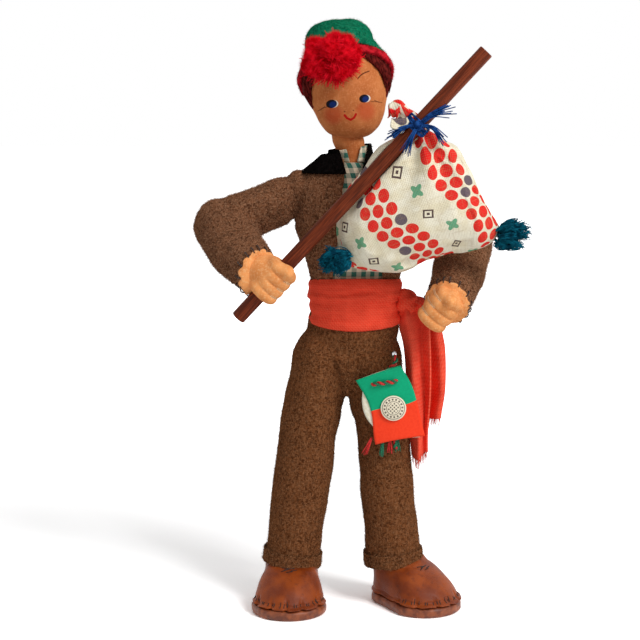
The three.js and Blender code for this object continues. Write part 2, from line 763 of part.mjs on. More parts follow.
// The bag's outline below the tie, as shares of its width and drop, with two pulled-out corners.
const bagOutline = [
  [-0.06, 0], [0.07, 0.01], [0.16, 0.07], [0.27, 0.15], [0.35, 0.25], [0.41, 0.4],
  [0.47, 0.56], [0.535, 0.7], [0.48, 0.79], [0.36, 0.84], [0.13, 0.95], [-0.11, 1],
  [-0.28, 0.985], [-0.44, 0.93], [-0.465, 0.83], [-0.475, 0.7], [-0.465, 0.47], [-0.37, 0.34],
  [-0.18, 0.1],
].map(([x, z]) => vec(x * bundleWidth, bundleLean * z, -z * bundleDrop));
const bagCurve = new THREE.CatmullRomCurve3(bagOutline, true);
const bagRim = bagCurve.getSpacedPoints(36).slice(0, 36);
const bagCentre = vec(0.05 * bundleWidth, 0.6 * bundleLean, -0.6 * bundleDrop);
const rimThickness = 1.6;

// A stuffed cushion: rings from the front's middle out to the rim and back to the rear's middle.
function cushion(rim, centre, halfThickness) {
  const shares = [0.4, 0.72, 0.92, 1];
  const bulge = (t) => rimThickness / 2 + (halfThickness - rimThickness / 2) * (1 - t ** 2.4) ** 0.62;
  const ringAt = (t, side) =>
    rim.map((p) => along(centre, p, t).add(vec(0, side * bulge(t), 0)));
  const rings = [
    ...shares.map((t) => ringAt(t, -1)),
    ...shares.reverse().map((t) => ringAt(t, 1)),
  ];
  return loft(rings);
}

const bagSolid = cushion(bagRim, bagCentre, bundleHalfThickness);
piece(bundle, 'bundle_bag', largest(cut(bagSolid, staffHole, staffSlot)), printCloth);

// Gathered cloth above the tie, fluted like a rosette.
const flutes = 7;
const ruffleRing = (height, radius, depth, lift) =>
  Array.from({ length: flutes * 3 }, (_, i) => {
    const turn = (2 * Math.PI * i) / (flutes * 3);
    const crest = Math.cos(flutes * turn);
    const wave = radius + depth * crest;
    return vec(wave * Math.cos(turn), height + lift * crest, wave * Math.sin(turn) * 0.75);
  });
const ruffleFrame = limbFrame(vec(-1.5, 0.5, -0.6), vec(-8, 1, 1.6));
const ruffleSolid = loft([
  ruffleRing(0.6, bundleNeckRadius * 0.85, 0.4, 0),
  ruffleRing(4, bundleNeckRadius * 1.15, 1, 0),
  ruffleRing(8.5, bundleNeckRadius * 1.75, 1.8, 0.6),
  ruffleRing(10, bundleNeckRadius * 1.5, 1.6, 0.8),
  ruffleRing(7, bundleNeckRadius * 0.5, 0.4, 0.2),
]).applyMatrix4(ruffleFrame);
const bagGrown = cushion(bagRim, bagCentre, bundleHalfThickness + clearance);
piece(bundle, 'bundle_ruffle', largest(cut(ruffleSolid, staffHole, bagGrown)), printCloth);

// Yarn lashed round the staff and the bag's neck, knotted in front with loose ends.
const lashCentre = vec(0, -(staffRadius + bundleNeckRadius * 0.8) / 2, 0);
const lash = (offset) => {
  const ring = new THREE.TorusGeometry(staffRadius + 1.9 * yarnRadius, yarnRadius, 6, 14);
  ring.scale(1, (staffRadius + 2 * bundleNeckRadius) / (staffRadius + 2 * yarnRadius), 1);
  const frame = limbFrame(vec(0, 0, 0), staffWay).multiply(new THREE.Matrix4().makeRotationX(Math.PI / 2));
  const upright = vec(0, 1, 0).transformDirection(frame);
  const turn = Math.atan2(vec(1, 0, 0).transformDirection(frame).y, upright.y);
  ring.rotateZ(turn);
  return placed(ring, frame).translate(...lashCentre.clone().addScaledVector(staffWay, offset).toArray());
};
const knotPoint = vec(0, -staffRadius * 2 - bundleNeckRadius * 0.8 - yarnRadius, 0);
const knotBall = new THREE.SphereGeometry(2.7 * yarnRadius, 8, 6).translate(...knotPoint.toArray());
const looseEnds = [
  [vec(6, -2, 8), vec(15, 0.5, 8)],
  [vec(7, -2.5, 1), vec(12, -1, -7)],
  [vec(-4, -3, -5), vec(-6, -1.5, -14)],
  [vec(-7, -2, 0), vec(-13, -1, -5)],
].map(([middle, end]) =>
  strand([knotPoint, knotPoint.clone().add(middle), knotPoint.clone().add(end)], yarnRadius * 0.85, 6, 4),
);
piece(
  bundle,
  'bundle_tie',
  largest(
    cut(
      join(lash(-yarnRadius), lash(yarnRadius), knotBall, ...looseEnds),
      staffHole,
      bagGrown,
      ruffleSolid,
    ),
  ),
  blueYarn,
);

// Tassels: a tight head and a flared skirt of yarn at each pulled-out corner.
const tasselSolid = (from, way) => {
  const tip = from.clone().addScaledVector(way, 1);
  const shape = smoothProfile(
    [
      [0, -2.6],
      [tasselRadius * 0.62, -1],
      [tasselRadius * 0.62, 2],
      [tasselRadius * 0.95, 7],
      [tasselRadius * 0.9, 10.5],
      [0, 11.6],
    ],
    8,
  );
  return placed(turned(shape, 12), limbFrame(from, tip));
};
const leftCorner = bagOutline[13];
const rightCorner = bagOutline[7];
piece(
  bundle,
  'bundle_tassel_left',
  cut(tasselSolid(leftCorner.clone().add(vec(0.5, -3, 0)), vec(-0.75, -0.35, 0.1).normalize()),
    bagGrown),
  tealYarn,
);
piece(
  bundle,
  'bundle_tassel_right',
  cut(tasselSolid(rightCorner.clone().add(vec(0.4, 0, 0)), vec(0.93, -0.1, -0.38).normalize()),
    bagGrown),
  tealYarn,
);
joint('bundle_swing', tiePoint, staffWay.clone().negate());

// A trouser leg swells from a rounded hip to the hem.
const rightAnkle = vec(rightHip.x - 12.4, 0, hemHeight + 4);
const leftAnkle = vec(leftHip.x + 8.4, 0, hemHeight + 4);

function legBody(hip, ankle, thighRadius, grow) {
  const levels = [0.12, 0.3, 0.5, 0.7, 0.88].map((share) => {
    const turn = (Math.PI / 2) * share;
    const [wide, high] = [Math.sin(turn), Math.cos(turn)];
    const [a, b] = [(hipHalfWidth + grow) * wide, (hipRadius + grow) * wide];
    return { z: hip.z + (hipRadius + grow) * high, x: hip.x, a, b, power: 2 };
  });
  const legShape = [
    { down: 0.03, wide: hipHalfWidth, deep: hipRadius },
    { down: 0.14, wide: (hipHalfWidth + thighRadius) / 2, deep: hipRadius * 0.95 },
    { down: 0.32, wide: thighRadius, deep: thighRadius },
    { down: 0.62, wide: (2 * thighRadius + ankleRadius) / 3, deep: (2 * thighRadius + ankleRadius) / 3 },
    { down: 0.92, wide: ankleRadius, deep: ankleRadius },
    { down: 1, wide: ankleRadius, deep: ankleRadius },
  ];
  const hemTop = shoeHeight + clearance;
  for (const { down, wide, deep } of legShape) {
    const z = THREE.MathUtils.lerp(hip.z, hemTop, down);
    const lean = (ankle.x - hip.x) * ((hip.z - z) / (hip.z - ankle.z));
    levels.push({ z, x: hip.x + lean, a: wide + grow, b: deep + grow, power: 2 });
  }
  return loft(levels.map((level) => section(level, 18)));
}

// Trouser seat: the stuffed block under the sash and the fork that fills between the legs.
const sashMiddle = waistHeight - 1;
const sashLow = sashMiddle - sashHeight / 2;
const hipBall = (centre, grow, sides = 24, rows = 16) =>
  new THREE.SphereGeometry(1, sides, rows)
    .scale(hipHalfWidth + grow, hipRadius + grow, hipRadius + grow)
    .translate(...centre.toArray());
const seatTop = waistHeight - clearance;
const blockRings = [
  { z: seatTop, a: waistHalfWidth + jacketOut, b: waistHalfDepth + jacketOut, x: 1 },
  { z: sashLow + 2, a: waistHalfWidth + jacketOut, b: waistHalfDepth + jacketOut, x: 0.8 },
  { z: sashLow - 2.5, a: waistHalfWidth + jacketOut - 1.5, b: waistHalfDepth + jacketOut - 1.5, x: 0 },
  { z: sashLow - 4.5, a: waistHalfWidth - 2, b: waistHalfDepth - 2, x: -1 },
].map((s) => section(s, bodySides));
const webHalf = hipSpacing / 2 - hipHalfWidth - clearance;
const web = box(hipMiddle - webHalf, hipMiddle + webHalf, -11, 11, hipHeight - 17, sashLow + 3);
const legSweep = 20.5;
const legRaise = 45;
const legBack = 10;
const [sweepSin, sweepCos] = [Math.sin(radians(legRaise)), Math.cos(radians(legRaise))];
const sweepPoints = [
  [0, 0],
  [-legSweep * sweepCos, legSweep * sweepSin],
  [-legSweep * sweepCos - beyond * sweepSin, legSweep * sweepSin - beyond * sweepCos],
  [-2 * beyond, -2 * beyond],
  [0, -2 * beyond],
];
const sweepShape = new THREE.Shape(sweepPoints.map(([y, z]) => new THREE.Vector2(y, z)));
const legPath = new THREE.ExtrudeGeometry(sweepShape, { depth: 2 * beyond, bevelEnabled: false });
legPath.applyMatrix4(new THREE.Matrix4().makeBasis(vec(0, 1, 0), vec(0, 0, 1), vec(1, 0, 0)));
legPath.translate(-beyond, 0, hipHeight);
const hipBar = [along(rightHip, leftHip, 0.06), along(rightHip, leftHip, 0.94)];
const block = cut(loft(blockRings), legPath, hipBall(rightHip, clearance), hipBall(leftHip, clearance));
// The fork is a disc about the hip axis that lies between the hips and stays out of both legs' paths.
const forkRadius = hipRadius - 0.3;
const forkTurns = Array.from({ length: 13 }, (_, i) => radians(50 + (295 * i) / 12));
const forkRim = forkTurns.map((t) => [-forkRadius * Math.sin(t), hipHeight - forkRadius * Math.cos(t)]);
const forkShape = new THREE.Shape([[0, hipHeight], ...forkRim].map(([y, z]) => new THREE.Vector2(y, z)));
const forkDisc = new THREE.ExtrudeGeometry(forkShape, { depth: hipSpacing, bevelEnabled: false });
forkDisc.applyMatrix4(new THREE.Matrix4().makeBasis(vec(0, 1, 0), vec(0, 0, 1), vec(1, 0, 0)));
forkDisc.translate(rightHip.x, 0, 0);
const swung = (hip, ankle, thighRadius, degrees) =>
  legBody(hip, ankle, thighRadius, clearance)
    .translate(-hip.x, -hip.y, -hip.z)
    .rotateX(-radians(degrees))
    .translate(hip.x, hip.y, hip.z);
const legPlaces = [-legBack, legRaise].flatMap((degrees) => [
  swung(rightHip, rightAnkle, rightThighRadius, degrees),
  swung(leftHip, leftAnkle, leftThighRadius, degrees),
]);
const hipSpheres = [rightHip, leftHip].map((hip) => hipBall(hip, 2 * clearance, 16, 10));
const fork = largest(cut(forkDisc, ...hipSpheres, ...legPlaces));
piece(
  torso,
  'trouser_seat',
  cut(join(block, web, fork), bore(longer(hipBar, 4, 4)), spineBore),
  feltTrousers,
);
piece(torso, 'hip_wire', wireSolid(hipBar), steel);

// Pin for the tag, pushed into the front of the left thigh.
const pinOffset = 7.8;
const pinRise = 4.3;
const pinReach = hipRadius * Math.sqrt(1 - (pinOffset / hipHalfWidth) ** 2);
const tagPin = vec(leftHip.x + pinOffset, -Math.sqrt(pinReach ** 2 - pinRise ** 2), hipHeight + pinRise);
const pinSolid = (grow) =>
  turned(
    [
      [0, -5 - grow],
      [0.5 + grow, -5 - grow],
      [0.5 + grow, pinHead * 0.3 - grow],
      [pinHead + grow, pinHead * 0.3 - grow],
      [pinHead * 0.8 + grow, pinHead * 0.8],
      [0, pinHead + grow],
    ],
    10,
  )
    .rotateX(Math.PI)
    .applyMatrix4(new THREE.Matrix4().makeTranslation(tagPin));

// Legs: each with a turned-up cuff over a shoe.
function leg(side, hip, ankle, thighRadius, toeOut, pinHole) {
  const frame = limbFrame(hip, ankle);
  const length = hip.distanceTo(ankle);
  const group = assembly(`${side}_leg`, frame);
  const whole = legBody(hip, ankle, thighRadius, 0);
  const legWire = [vec(0, wireRadius * 2 + clearance, 0), vec(0, length - 6, 0)];
  const wireHole = placed(bore(longer(legWire, 3, 0.3)), frame);
  const holes = [bore(longer(hipBar, 4, 4)), wireHole, ...(pinHole ? [pinHole] : [])];
  const trouser = cut(whole, ...holes);
  piece(group, `${side}_trouser_leg`, seenFrom(trouser, frame), feltTrousers);
  piece(group, `${side}_leg_wire`, wireSolid(legWire), steel);
  const cuffLow = length + (ankle.z - hemHeight);
  const cuffTop = cuffLow - cuffHeight;
  const cuffIn = ankleRadius + clearance;
  const cuffOut = cuffIn + feltThickness * 0.75;
  const cuff = (grow) =>
    turned(
      [
        [cuffIn - grow, cuffTop - grow],
        [cuffOut - 0.5 + grow, cuffTop - grow],
        [cuffOut + grow, cuffTop + 1],
        [cuffOut + 0.3 + grow, cuffLow - 1],
        [cuffOut - 0.3 + grow, cuffLow + grow],
        [cuffIn - grow, cuffLow + grow],
        [cuffIn - grow, cuffTop - grow],
      ],
      18,
    );
  piece(group, `${side}_trouser_cuff`, cuff(0), feltTrousers);
  shoe(side, ankle, toeOut, placed(cuff(clearance), frame));
  joint(`${side}_hip`, hip, vec(-1, 0, 0));
}

// Shoe: a welted sole and a low round upper that closes about the ankle.
function shoe(side, ankle, toeOut, cuff) {
  const frame = new THREE.Matrix4().compose(
    vec(ankle.x + 0.07 * toeOut, ankle.y, 0),
    new THREE.Quaternion().setFromAxisAngle(vec(0, 0, 1), radians(toeOut)),
    vec(1, 1, 1),
  );
  const group = assembly(`${side}_shoe`, frame);
  const bevel = 0.9;
  const outline = (inset) => {
    const shape = new THREE.Shape();
    shape.absarc(0, 1.5, heelRadius - inset, 0, Math.PI);
    shape.absarc(0, -ankleToToe, toeRadius - inset, Math.PI, 2 * Math.PI);
    return shape;
  };
  const sole = new THREE.ExtrudeGeometry(outline(bevel), {
    depth: soleThickness - 2 * bevel,
    bevelThickness: bevel,
    bevelSize: bevel,
    bevelSegments: 1,
    curveSegments: 9,
  });
  piece(group, `${side}_shoe_sole`, sole.translate(0, 0, bevel), soleLeather);
  const rim = outline(1.1).getSpacedPoints(24).slice(0, 24);
  const upperLow = soleThickness + clearance;
  const ankleRing = ankleRadius - 1.6;
  const rings = [0, 22, 44, 64, 82].map((degrees) => {
    const turn = radians(degrees);
    const inward = 1 - Math.cos(turn) ** 0.9;
    const height = upperLow + (shoeHeight - 4 - upperLow) * Math.sin(turn);
    return rim.map((p) => {
      const heading = Math.atan2(p.y, p.x);
      const target = vec(ankleRing * Math.cos(heading), ankleRing * Math.sin(heading), 0);
      const place = along(vec(p.x, p.y, 0), target, inward);
      return place.setZ(height);
    });
  });
  rings.push(rings[4].map((p) => p.clone().setZ(shoeHeight)));
  const upper = largest(cut(placed(loft(rings), frame), cuff));
  piece(group, `${side}_shoe_upper`, seenFrom(upper, frame), leather);
}

leg('right', rightHip, rightAnkle, rightThighRadius, -4);
leg('left', leftHip, leftAnkle, leftThighRadius, 46, pinSolid(clearance));
piece(doll, 'tag_pin', pinSolid(0), steel);

// Sash: flat pleats wound round the waist, with a knot and two tails at the doll's left hip.
const pleats = 4;
const pleatRise = 0.35;
const sashRings = [];
for (let i = 0; i <= pleats * 2; i++) {
  const bulge = i % 2 ? pleatRise : -0.55;
  sashRings.push(
    section(
      {
        z: sashLow + (sashHeight * i) / (pleats * 2),
        x: 1,
        a: waistHalfWidth + sashOut + bulge,
        b: waistHalfDepth + sashOut + bulge,
      },
      bodySides,
    ),
  );
}
const waistRing = (z, x, grow) =>
  section({ z, x, a: waistHalfWidth + grow, b: waistHalfDepth + grow }, bodySides);
const sashCore = loft([sashLow - 5, waistHeight + 0.5].map((z) => waistRing(z, 0.9, sashIn)));
piece(
  torso,
  'waist_sash',
  cut(loft(sashRings), bodySolid(sashIn, sashLow - 5), loft(blockRings), sashCore),
  redCloth,
);
const knotX = waistHalfWidth + sashOut + 1.6;
const sashSpare = sashOut + pleatRise + clearance;
const sashEnds = [sashLow - 1, sashLow + sashHeight + 1];
const sashGrown = loft(sashEnds.map((z) => waistRing(z, 1, sashSpare)));
const knotCentre = vec(knotX, -3, sashMiddle - 1);
const knotSolid = (grow) =>
  new THREE.SphereGeometry(1, 12, 10)
    .scale(knotRadius + grow, knotRadius + 1 + grow, knotRadius + grow)
    .translate(...knotCentre.toArray());
piece(torso, 'sash_knot', cut(knotSolid(0), sashGrown), redCloth);

// A hanging tail: its width gathers in the knot, opens into soft folds and narrows to its end.
function tail(top, bottom, endShare, folds, depth) {
  const cloth = sheet(
    (u, v) => {
      const gathered = THREE.MathUtils.lerp(0.5, 1, Math.min(1, v * 3));
      const open = gathered * THREE.MathUtils.lerp(1, endShare, v * v);
      const outward = THREE.MathUtils.lerp(top.x, bottom.x, v ** 0.45);
      const middle = along(top, bottom, v).setX(outward);
      const fold = depth * (0.5 + 0.5 * v) * Math.cos(folds * 2 * Math.PI * u);
      const sag = 2.5 * v * Math.sin(Math.PI * u);
      return vec(middle.x + (u - 0.5) * tailWidth * open, middle.y + fold, middle.z - sag);
    },
    9,
    8,
    clothThickness,
  );
  return largest(cut(cloth, knotSolid(clearance), sashGrown));
}

// The tails hang beside the left leg, clear of it as it swings forward, and turn about the knot.
const tails = assembly('sash_tails');
const legOut = leftHip.x + hipHalfWidth + 2 * clearance;
const frontTop = knotCentre.clone().add(vec(1.5, -2, -1.5));
const frontEnd = vec(legOut + 4.4 + tailWidth * 0.4, -7.5, frontTop.z - frontTailLength);
const rearTop = knotCentre.clone().add(vec(2.5, 3, -1));
const rearEnd = vec(frontEnd.x + 6, 4.5, rearTop.z - rearTailLength);
piece(tails, 'sash_tail_front', tail(frontTop, frontEnd, 0.72, 1.5, 1.9), redCloth);
piece(tails, 'sash_tail_rear', tail(rearTop, rearEnd, 0.95, 1, 1.5), redCloth);
joint('sash_tail_swing', knotCentre, vec(0, -1, 0));

// Tag: a die-cut card with a second leaf behind it, hung from a pin on the left thigh by a cord.
const tag = assembly('tag');
const cardLean = radians(19);
const cardY = -hipRadius - 2 * cordRadius - 3 * clearance;
const cardMiddle = vec(tagPin.x - 2, cardY, tagPin.z - 23.5);
const cardPoint = (x, z, y) =>
  vec(
    cardMiddle.x + x * Math.cos(cardLean) - z * Math.sin(cardLean),
    y,
    cardMiddle.z + x * Math.sin(cardLean) + z * Math.cos(cardLean),
  );
function cardSheet(y, share, sideways) {
  return sheet(
    (u, v) => {
      const wave = 1.7 * Math.sin(Math.PI * (1.5 * v - 0.1));
      const x = (u - 0.5) * tagWidth * share + wave + sideways;
      return cardPoint(x, (0.5 - v) * tagHeight * share, y);
    },
    6,
    6,
    cardThickness,
  );
}
const leafStep = cardThickness + clearance;
const cardFront = cardY - 1.5 * leafStep;
piece(tag, 'tag_back_leaf', cardSheet(cardY - leafStep / 2, 0.97, -2), paperCream);
piece(tag, 'tag_card', cardSheet(cardFront, 1, 0), paperGreen);
const discPlace = cardPoint(1, -1.5, cardFront - leafStep);
const disc = turned([[0, 0], [discRadius, 0], [discRadius, cardThickness], [0, cardThickness]], 18);
disc.translate(discPlace.x, discPlace.y - cardThickness / 2, discPlace.z);
piece(tag, 'tag_disc', disc, paperCream);
const cordBack = cardY + cordRadius + clearance;
const stitchY = cardFront - cardThickness / 2 - cordRadius - clearance;
piece(
  tag,
  'tag_cord',
  strand(
    [
      vec(tagPin.x, tagPin.y - pinHead - cordRadius, tagPin.z - 2.6),
      vec(tagPin.x + 1.2, cordBack + 0.4, tagPin.z - 6),
      cardPoint(2, tagHeight * 0.3, cordBack),
      cardPoint(-2, -tagHeight * 0.3, cordBack),
      cardPoint(-3.5, -tagHeight * 0.5 - 7, cordBack - 0.5),
    ],
    cordRadius,
    6,
    12,
  ),
  redYarn,
);
piece(
  tag,
  'tag_cord_stitch',
  strand(
    [
      cardPoint(-5.5, tagHeight * 0.34, stitchY),
      cardPoint(-1, tagHeight * 0.31, stitchY - 0.6),
      cardPoint(4, tagHeight * 0.27, stitchY),
    ],
    cordRadius * 1.3,
    6,
    5,
  ),
  redYarn,
);
joint('tag_swing', tagPin, vec(-1, 0, 0));

// Recentre: the middle of the footprint and the lowest point come to the origin.
doll.updateMatrixWorld(true);
const bounds = new THREE.Box3().setFromObject(doll, true);
const shift = vec(-(bounds.min.x + bounds.max.x) / 2, -(bounds.min.y + bounds.max.y) / 2, -bounds.min.z);
doll.position.copy(shift);
doll.userData.joints = joints.map(({ name, point, axis }) => ({
  name,
  point: point.add(shift).toArray(),
  axis: axis.toArray(),
}));
doll.userData.shift = shift.toArray();

export default doll;
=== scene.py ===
# The cloth doll's looks: felt suit, cotton face and hands, yarn cap, printed bundle and leather shoes.
import json
import math
import random

import bmesh
import bpy
import numpy as np
from mathutils import Matrix, Vector
from mathutils import noise as ripple
from mathutils.bvhtree import BVHTree


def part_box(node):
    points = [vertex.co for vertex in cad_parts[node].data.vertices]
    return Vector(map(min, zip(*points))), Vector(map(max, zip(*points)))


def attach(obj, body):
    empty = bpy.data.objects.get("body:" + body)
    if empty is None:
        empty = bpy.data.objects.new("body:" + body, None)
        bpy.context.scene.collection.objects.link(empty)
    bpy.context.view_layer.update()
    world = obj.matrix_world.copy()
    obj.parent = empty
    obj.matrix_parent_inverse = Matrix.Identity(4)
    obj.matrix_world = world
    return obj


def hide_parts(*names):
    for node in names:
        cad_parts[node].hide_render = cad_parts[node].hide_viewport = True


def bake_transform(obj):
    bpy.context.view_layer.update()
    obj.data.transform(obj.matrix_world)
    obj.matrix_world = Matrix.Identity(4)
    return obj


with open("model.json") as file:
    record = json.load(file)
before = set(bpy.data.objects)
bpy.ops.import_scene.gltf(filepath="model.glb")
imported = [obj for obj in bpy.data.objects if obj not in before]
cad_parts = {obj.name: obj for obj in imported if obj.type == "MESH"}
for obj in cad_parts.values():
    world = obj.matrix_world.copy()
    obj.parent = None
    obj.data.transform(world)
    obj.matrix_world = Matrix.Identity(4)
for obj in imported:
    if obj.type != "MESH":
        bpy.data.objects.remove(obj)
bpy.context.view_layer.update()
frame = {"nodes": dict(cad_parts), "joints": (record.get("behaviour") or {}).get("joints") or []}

mm = 0.001
scene = bpy.context.scene
jointPlace = {j["name"]: Vector(j["pos_m"]) for j in frame["joints"] if "pos_m" in j}
jointAxis = {j["name"]: Vector(j["axis"]).normalized() for j in frame["joints"]}


# Selecting, copying and finishing

def onlySelect(*pieces):
    bpy.ops.object.select_all(action="DESELECT")
    for piece in pieces:
        piece.select_set(True)
    bpy.context.view_layer.objects.active = pieces[0]


def finishWith(piece, kind, **settings):
    modifier = piece.modifiers.new(kind.lower(), kind)
    for key, value in settings.items():
        setattr(modifier, key, value)
    onlySelect(piece)
    bpy.ops.object.modifier_apply(modifier=modifier.name)


def inEditMode(piece, *steps):
    onlySelect(piece)
    bpy.ops.object.mode_set(mode="EDIT")
    bpy.ops.mesh.select_all(action="SELECT")
    for step, settings in steps:
        step(**settings)
    bpy.ops.object.mode_set(mode="OBJECT")


def smoothShade(piece):
    onlySelect(piece)
    bpy.ops.object.shade_smooth()
    return piece


def newPiece(name, points, faces):
    mesh = bpy.data.meshes.new(name)
    mesh.from_pydata([tuple(p) for p in points], [], [tuple(f) for f in faces])
    mesh.update()
    piece = bpy.data.objects.new(name, mesh)
    scene.collection.objects.link(piece)
    return piece


def keepLargest(piece):
    mesh = bmesh.new()
    mesh.from_mesh(piece.data)
    mesh.verts.ensure_lookup_table()
    seen, islands = set(), []
    for start in mesh.verts:
        if start.index in seen:
            continue
        seen.add(start.index)
        island, waiting = [], [start]
        while waiting:
            point = waiting.pop()
            island.append(point)
            for edge in point.link_edges:
                other = edge.other_vert(point)
                if other.index not in seen:
                    seen.add(other.index)
                    waiting.append(other)
        islands.append(island)
    islands.sort(key=len)
    for island in islands[:-1]:
        bmesh.ops.delete(mesh, geom=island, context="VERTS")
    mesh.to_mesh(piece.data)
    mesh.free()


def softCopy(name, nodes, voxel, grow=0, rounds=12, fill=()):
    # one soft skin over copies of some solids and the filling between them: fused, then smoothed
    parts = []
    for node in nodes:
        part = bpy.data.objects.new(name, frame["nodes"][node].data.copy())
        scene.collection.objects.link(part)
        parts.append(part)
    for centre, half in fill:
        bpy.ops.object.select_all(action="DESELECT")
        bpy.ops.mesh.primitive_uv_sphere_add(segments=36, ring_count=24, location=centre, scale=half)
        parts.append(bpy.context.object)
    onlySelect(*parts)
    if len(parts) > 1:
        bpy.ops.object.join()
    piece = parts[0]
    piece.name = name
    piece.data.name = name
    piece.data.materials.clear()
    inEditMode(piece, (bpy.ops.mesh.remove_doubles, {"threshold": 0.01 * mm}))
    if grow:
        finishWith(piece, "DISPLACE", mid_level=0, strength=grow)
    finishWith(piece, "REMESH", mode="VOXEL", voxel_size=voxel)
    keepLargest(piece)
    if grow:
        finishWith(piece, "DISPLACE", mid_level=0, strength=-grow)
    if rounds:
        finishWith(piece, "SMOOTH", factor=0.5, iterations=rounds)
    return smoothShade(piece)


def pointsOf(piece):
    flat = np.zeros(len(piece.data.vertices) * 3)
    piece.data.vertices.foreach_get("co", flat)
    return flat.reshape(-1, 3)


def normalsOf(piece):
    flat = np.zeros(len(piece.data.vertices) * 3)
    piece.data.vertices.foreach_get("normal", flat)
    return flat.reshape(-1, 3)


def setPoints(piece, points):
    piece.data.vertices.foreach_set("co", points.ravel())
    piece.data.update()


def rippleAt(points, scale, seed=0.0):
    return np.array([ripple.noise(Vector(p) * scale + Vector((seed, 0, 0))) for p in points])


def swell(piece, amount):
    # moves each point along its normal
    setPoints(piece, pointsOf(piece) + normalsOf(piece) * np.asarray(amount).reshape(-1, 1))


def lumpy(piece, scale, high, seed=0.0, also=0.0):
    # uneven stuffing, so many millimetres high, and a shift of the whole skin
    swell(piece, rippleAt(pointsOf(piece), scale, seed) * high * mm + also)


def eased(values, low, high):
    t = np.clip((values - low) / (high - low), 0, 1)
    return t * t * (3 - 2 * t)


def smoothPath(points, count):
    # an even Catmull-Rom line through the points
    knots = [Vector(p) for p in points]
    knots = [2 * knots[0] - knots[1], *knots, 2 * knots[-1] - knots[-2]]
    path = []
    for i in range(count + 1):
        place = i / count * (len(knots) - 3)
        k = min(int(place), len(knots) - 4)
        t = place - k
        a, b, c, d = knots[k:k + 4]
        path.append(0.5 * (2 * b + (c - a) * t + (2 * a - 5 * b + 4 * c - d) * t * t
                           + (3 * b - a - 3 * c + d) * t ** 3))
    return path


def lengthOf(path):
    return sum((b - a).length for a, b in zip(path, path[1:]))


def spokeAt(one, two, turn):
    return one * math.cos(turn) + two * math.sin(turn)


def astray(rng, size=1.0):
    return Vector([rng.gauss(0, size) for _ in range(3)])


def ringFaces(rows, turns):
    # quads between closed rings of points
    faces = []
    for r in range(rows):
        low, high = r * turns, (r + 1) * turns
        faces += [(low + i, low + (i + 1) % turns, high + (i + 1) % turns, high + i) for i in range(turns)]
    return faces


def stripFaces(rows, columns):
    # quads of a strip that is open at its sides
    wide = columns + 1
    return [(r * wide + c, (r + 1) * wide + c, (r + 1) * wide + c + 1, r * wide + c + 1)
            for r in range(rows) for c in range(columns)]


def facingOut(piece):
    inEditMode(piece, (bpy.ops.mesh.normals_make_consistent, {"inside": False}))


def threads(name, paths, radius, tip=1.0, roundness=0):
    # yarn, thread or fibre: a closed tube on each path, thinner towards its end where tip is below 1
    curve = bpy.data.curves.new(name, "CURVE")
    curve.dimensions = "3D"
    curve.bevel_depth = radius
    curve.bevel_resolution = roundness
    curve.use_fill_caps = True
    for path in paths:
        line = curve.splines.new("POLY")
        line.points.add(len(path) - 1)
        for i, p in enumerate(path):
            line.points[i].co = (*p, 1)
            line.points[i].radius = 1 + (tip - 1) * i / (len(path) - 1)
    piece = bpy.data.objects.new(name, curve)
    scene.collection.objects.link(piece)
    onlySelect(piece)
    bpy.ops.object.convert(target="MESH")
    piece = bpy.context.view_layer.objects.active
    inEditMode(piece, (bpy.ops.mesh.remove_doubles, {"threshold": 0.001 * mm}),
               (bpy.ops.mesh.normals_make_consistent, {"inside": False}))
    return smoothShade(piece)


spike = {"sunk": 0.15, "leastRise": 0.25, "shortest": 0.4, "thirdTurn": 2.0944}


def fuzzOn(name, source, fuzz):
    # short fibres that stand out of felt and wool, each a closed three sided spike
    rng = np.random.default_rng(fuzz["seed"])
    source.data.calc_loop_triangles()
    corners = np.zeros(len(source.data.loop_triangles) * 3, int)
    source.data.loop_triangles.foreach_get("vertices", corners)
    points = pointsOf(source)[corners.reshape(-1, 3)]
    facing = np.cross(points[:, 1] - points[:, 0], points[:, 2] - points[:, 0])
    area = np.linalg.norm(facing, axis=1)
    count = fuzz["count"]
    picked = rng.choice(len(area), count, p=area / area.sum())
    share = rng.random((count, 2))
    share[share.sum(1) > 1] = 1 - share[share.sum(1) > 1]
    a, b, c = points[picked, 0], points[picked, 1], points[picked, 2]
    root = a + (b - a) * share[:, :1] + (c - a) * share[:, 1:]
    normal = facing[picked] / area[picked, None]
    way = normal + fuzz["lean"] * rng.normal(size=(count, 3))
    way += normal * np.maximum(0, spike["leastRise"] - (way * normal).sum(1))[:, None]
    way /= np.linalg.norm(way, axis=1)[:, None]
    across = np.cross(way, rng.normal(size=(count, 3)))
    across /= np.linalg.norm(across, axis=1)[:, None]
    beside = np.cross(way, across)
    root = root - normal * spike["sunk"] * mm
    tip = root + way * (fuzz["length"] * rng.uniform(spike["shortest"], 1, count))[:, None]
    ring = [root + fuzz["radius"] * (math.cos(t) * across + math.sin(t) * beside)
            for t in (0, spike["thirdTurn"], 2 * spike["thirdTurn"])]
    spikes = np.stack([*ring, tip], axis=1).reshape(-1, 3)
    first = 4 * np.arange(count)[:, None]
    faces = np.concatenate([first + np.array(f) for f in ((0, 1, 3), (1, 2, 3), (2, 0, 3), (2, 1, 0))])
    return newPiece(name, spikes.tolist(), faces.tolist())


def treeOf(piece):
    return BVHTree.FromPolygons([tuple(p) for p in pointsOf(piece)],
                                [tuple(f.vertices) for f in piece.data.polygons])


def onSkin(tree, spot, way, lift=0.0, reach=30 * mm):
    # where a line from outside meets a surface on its way in to the spot
    hit = tree.ray_cast(spot + way * reach, -way)[0]
    return (hit or spot) + way * lift


# Shader maths: a socket with the operators that the finishes use

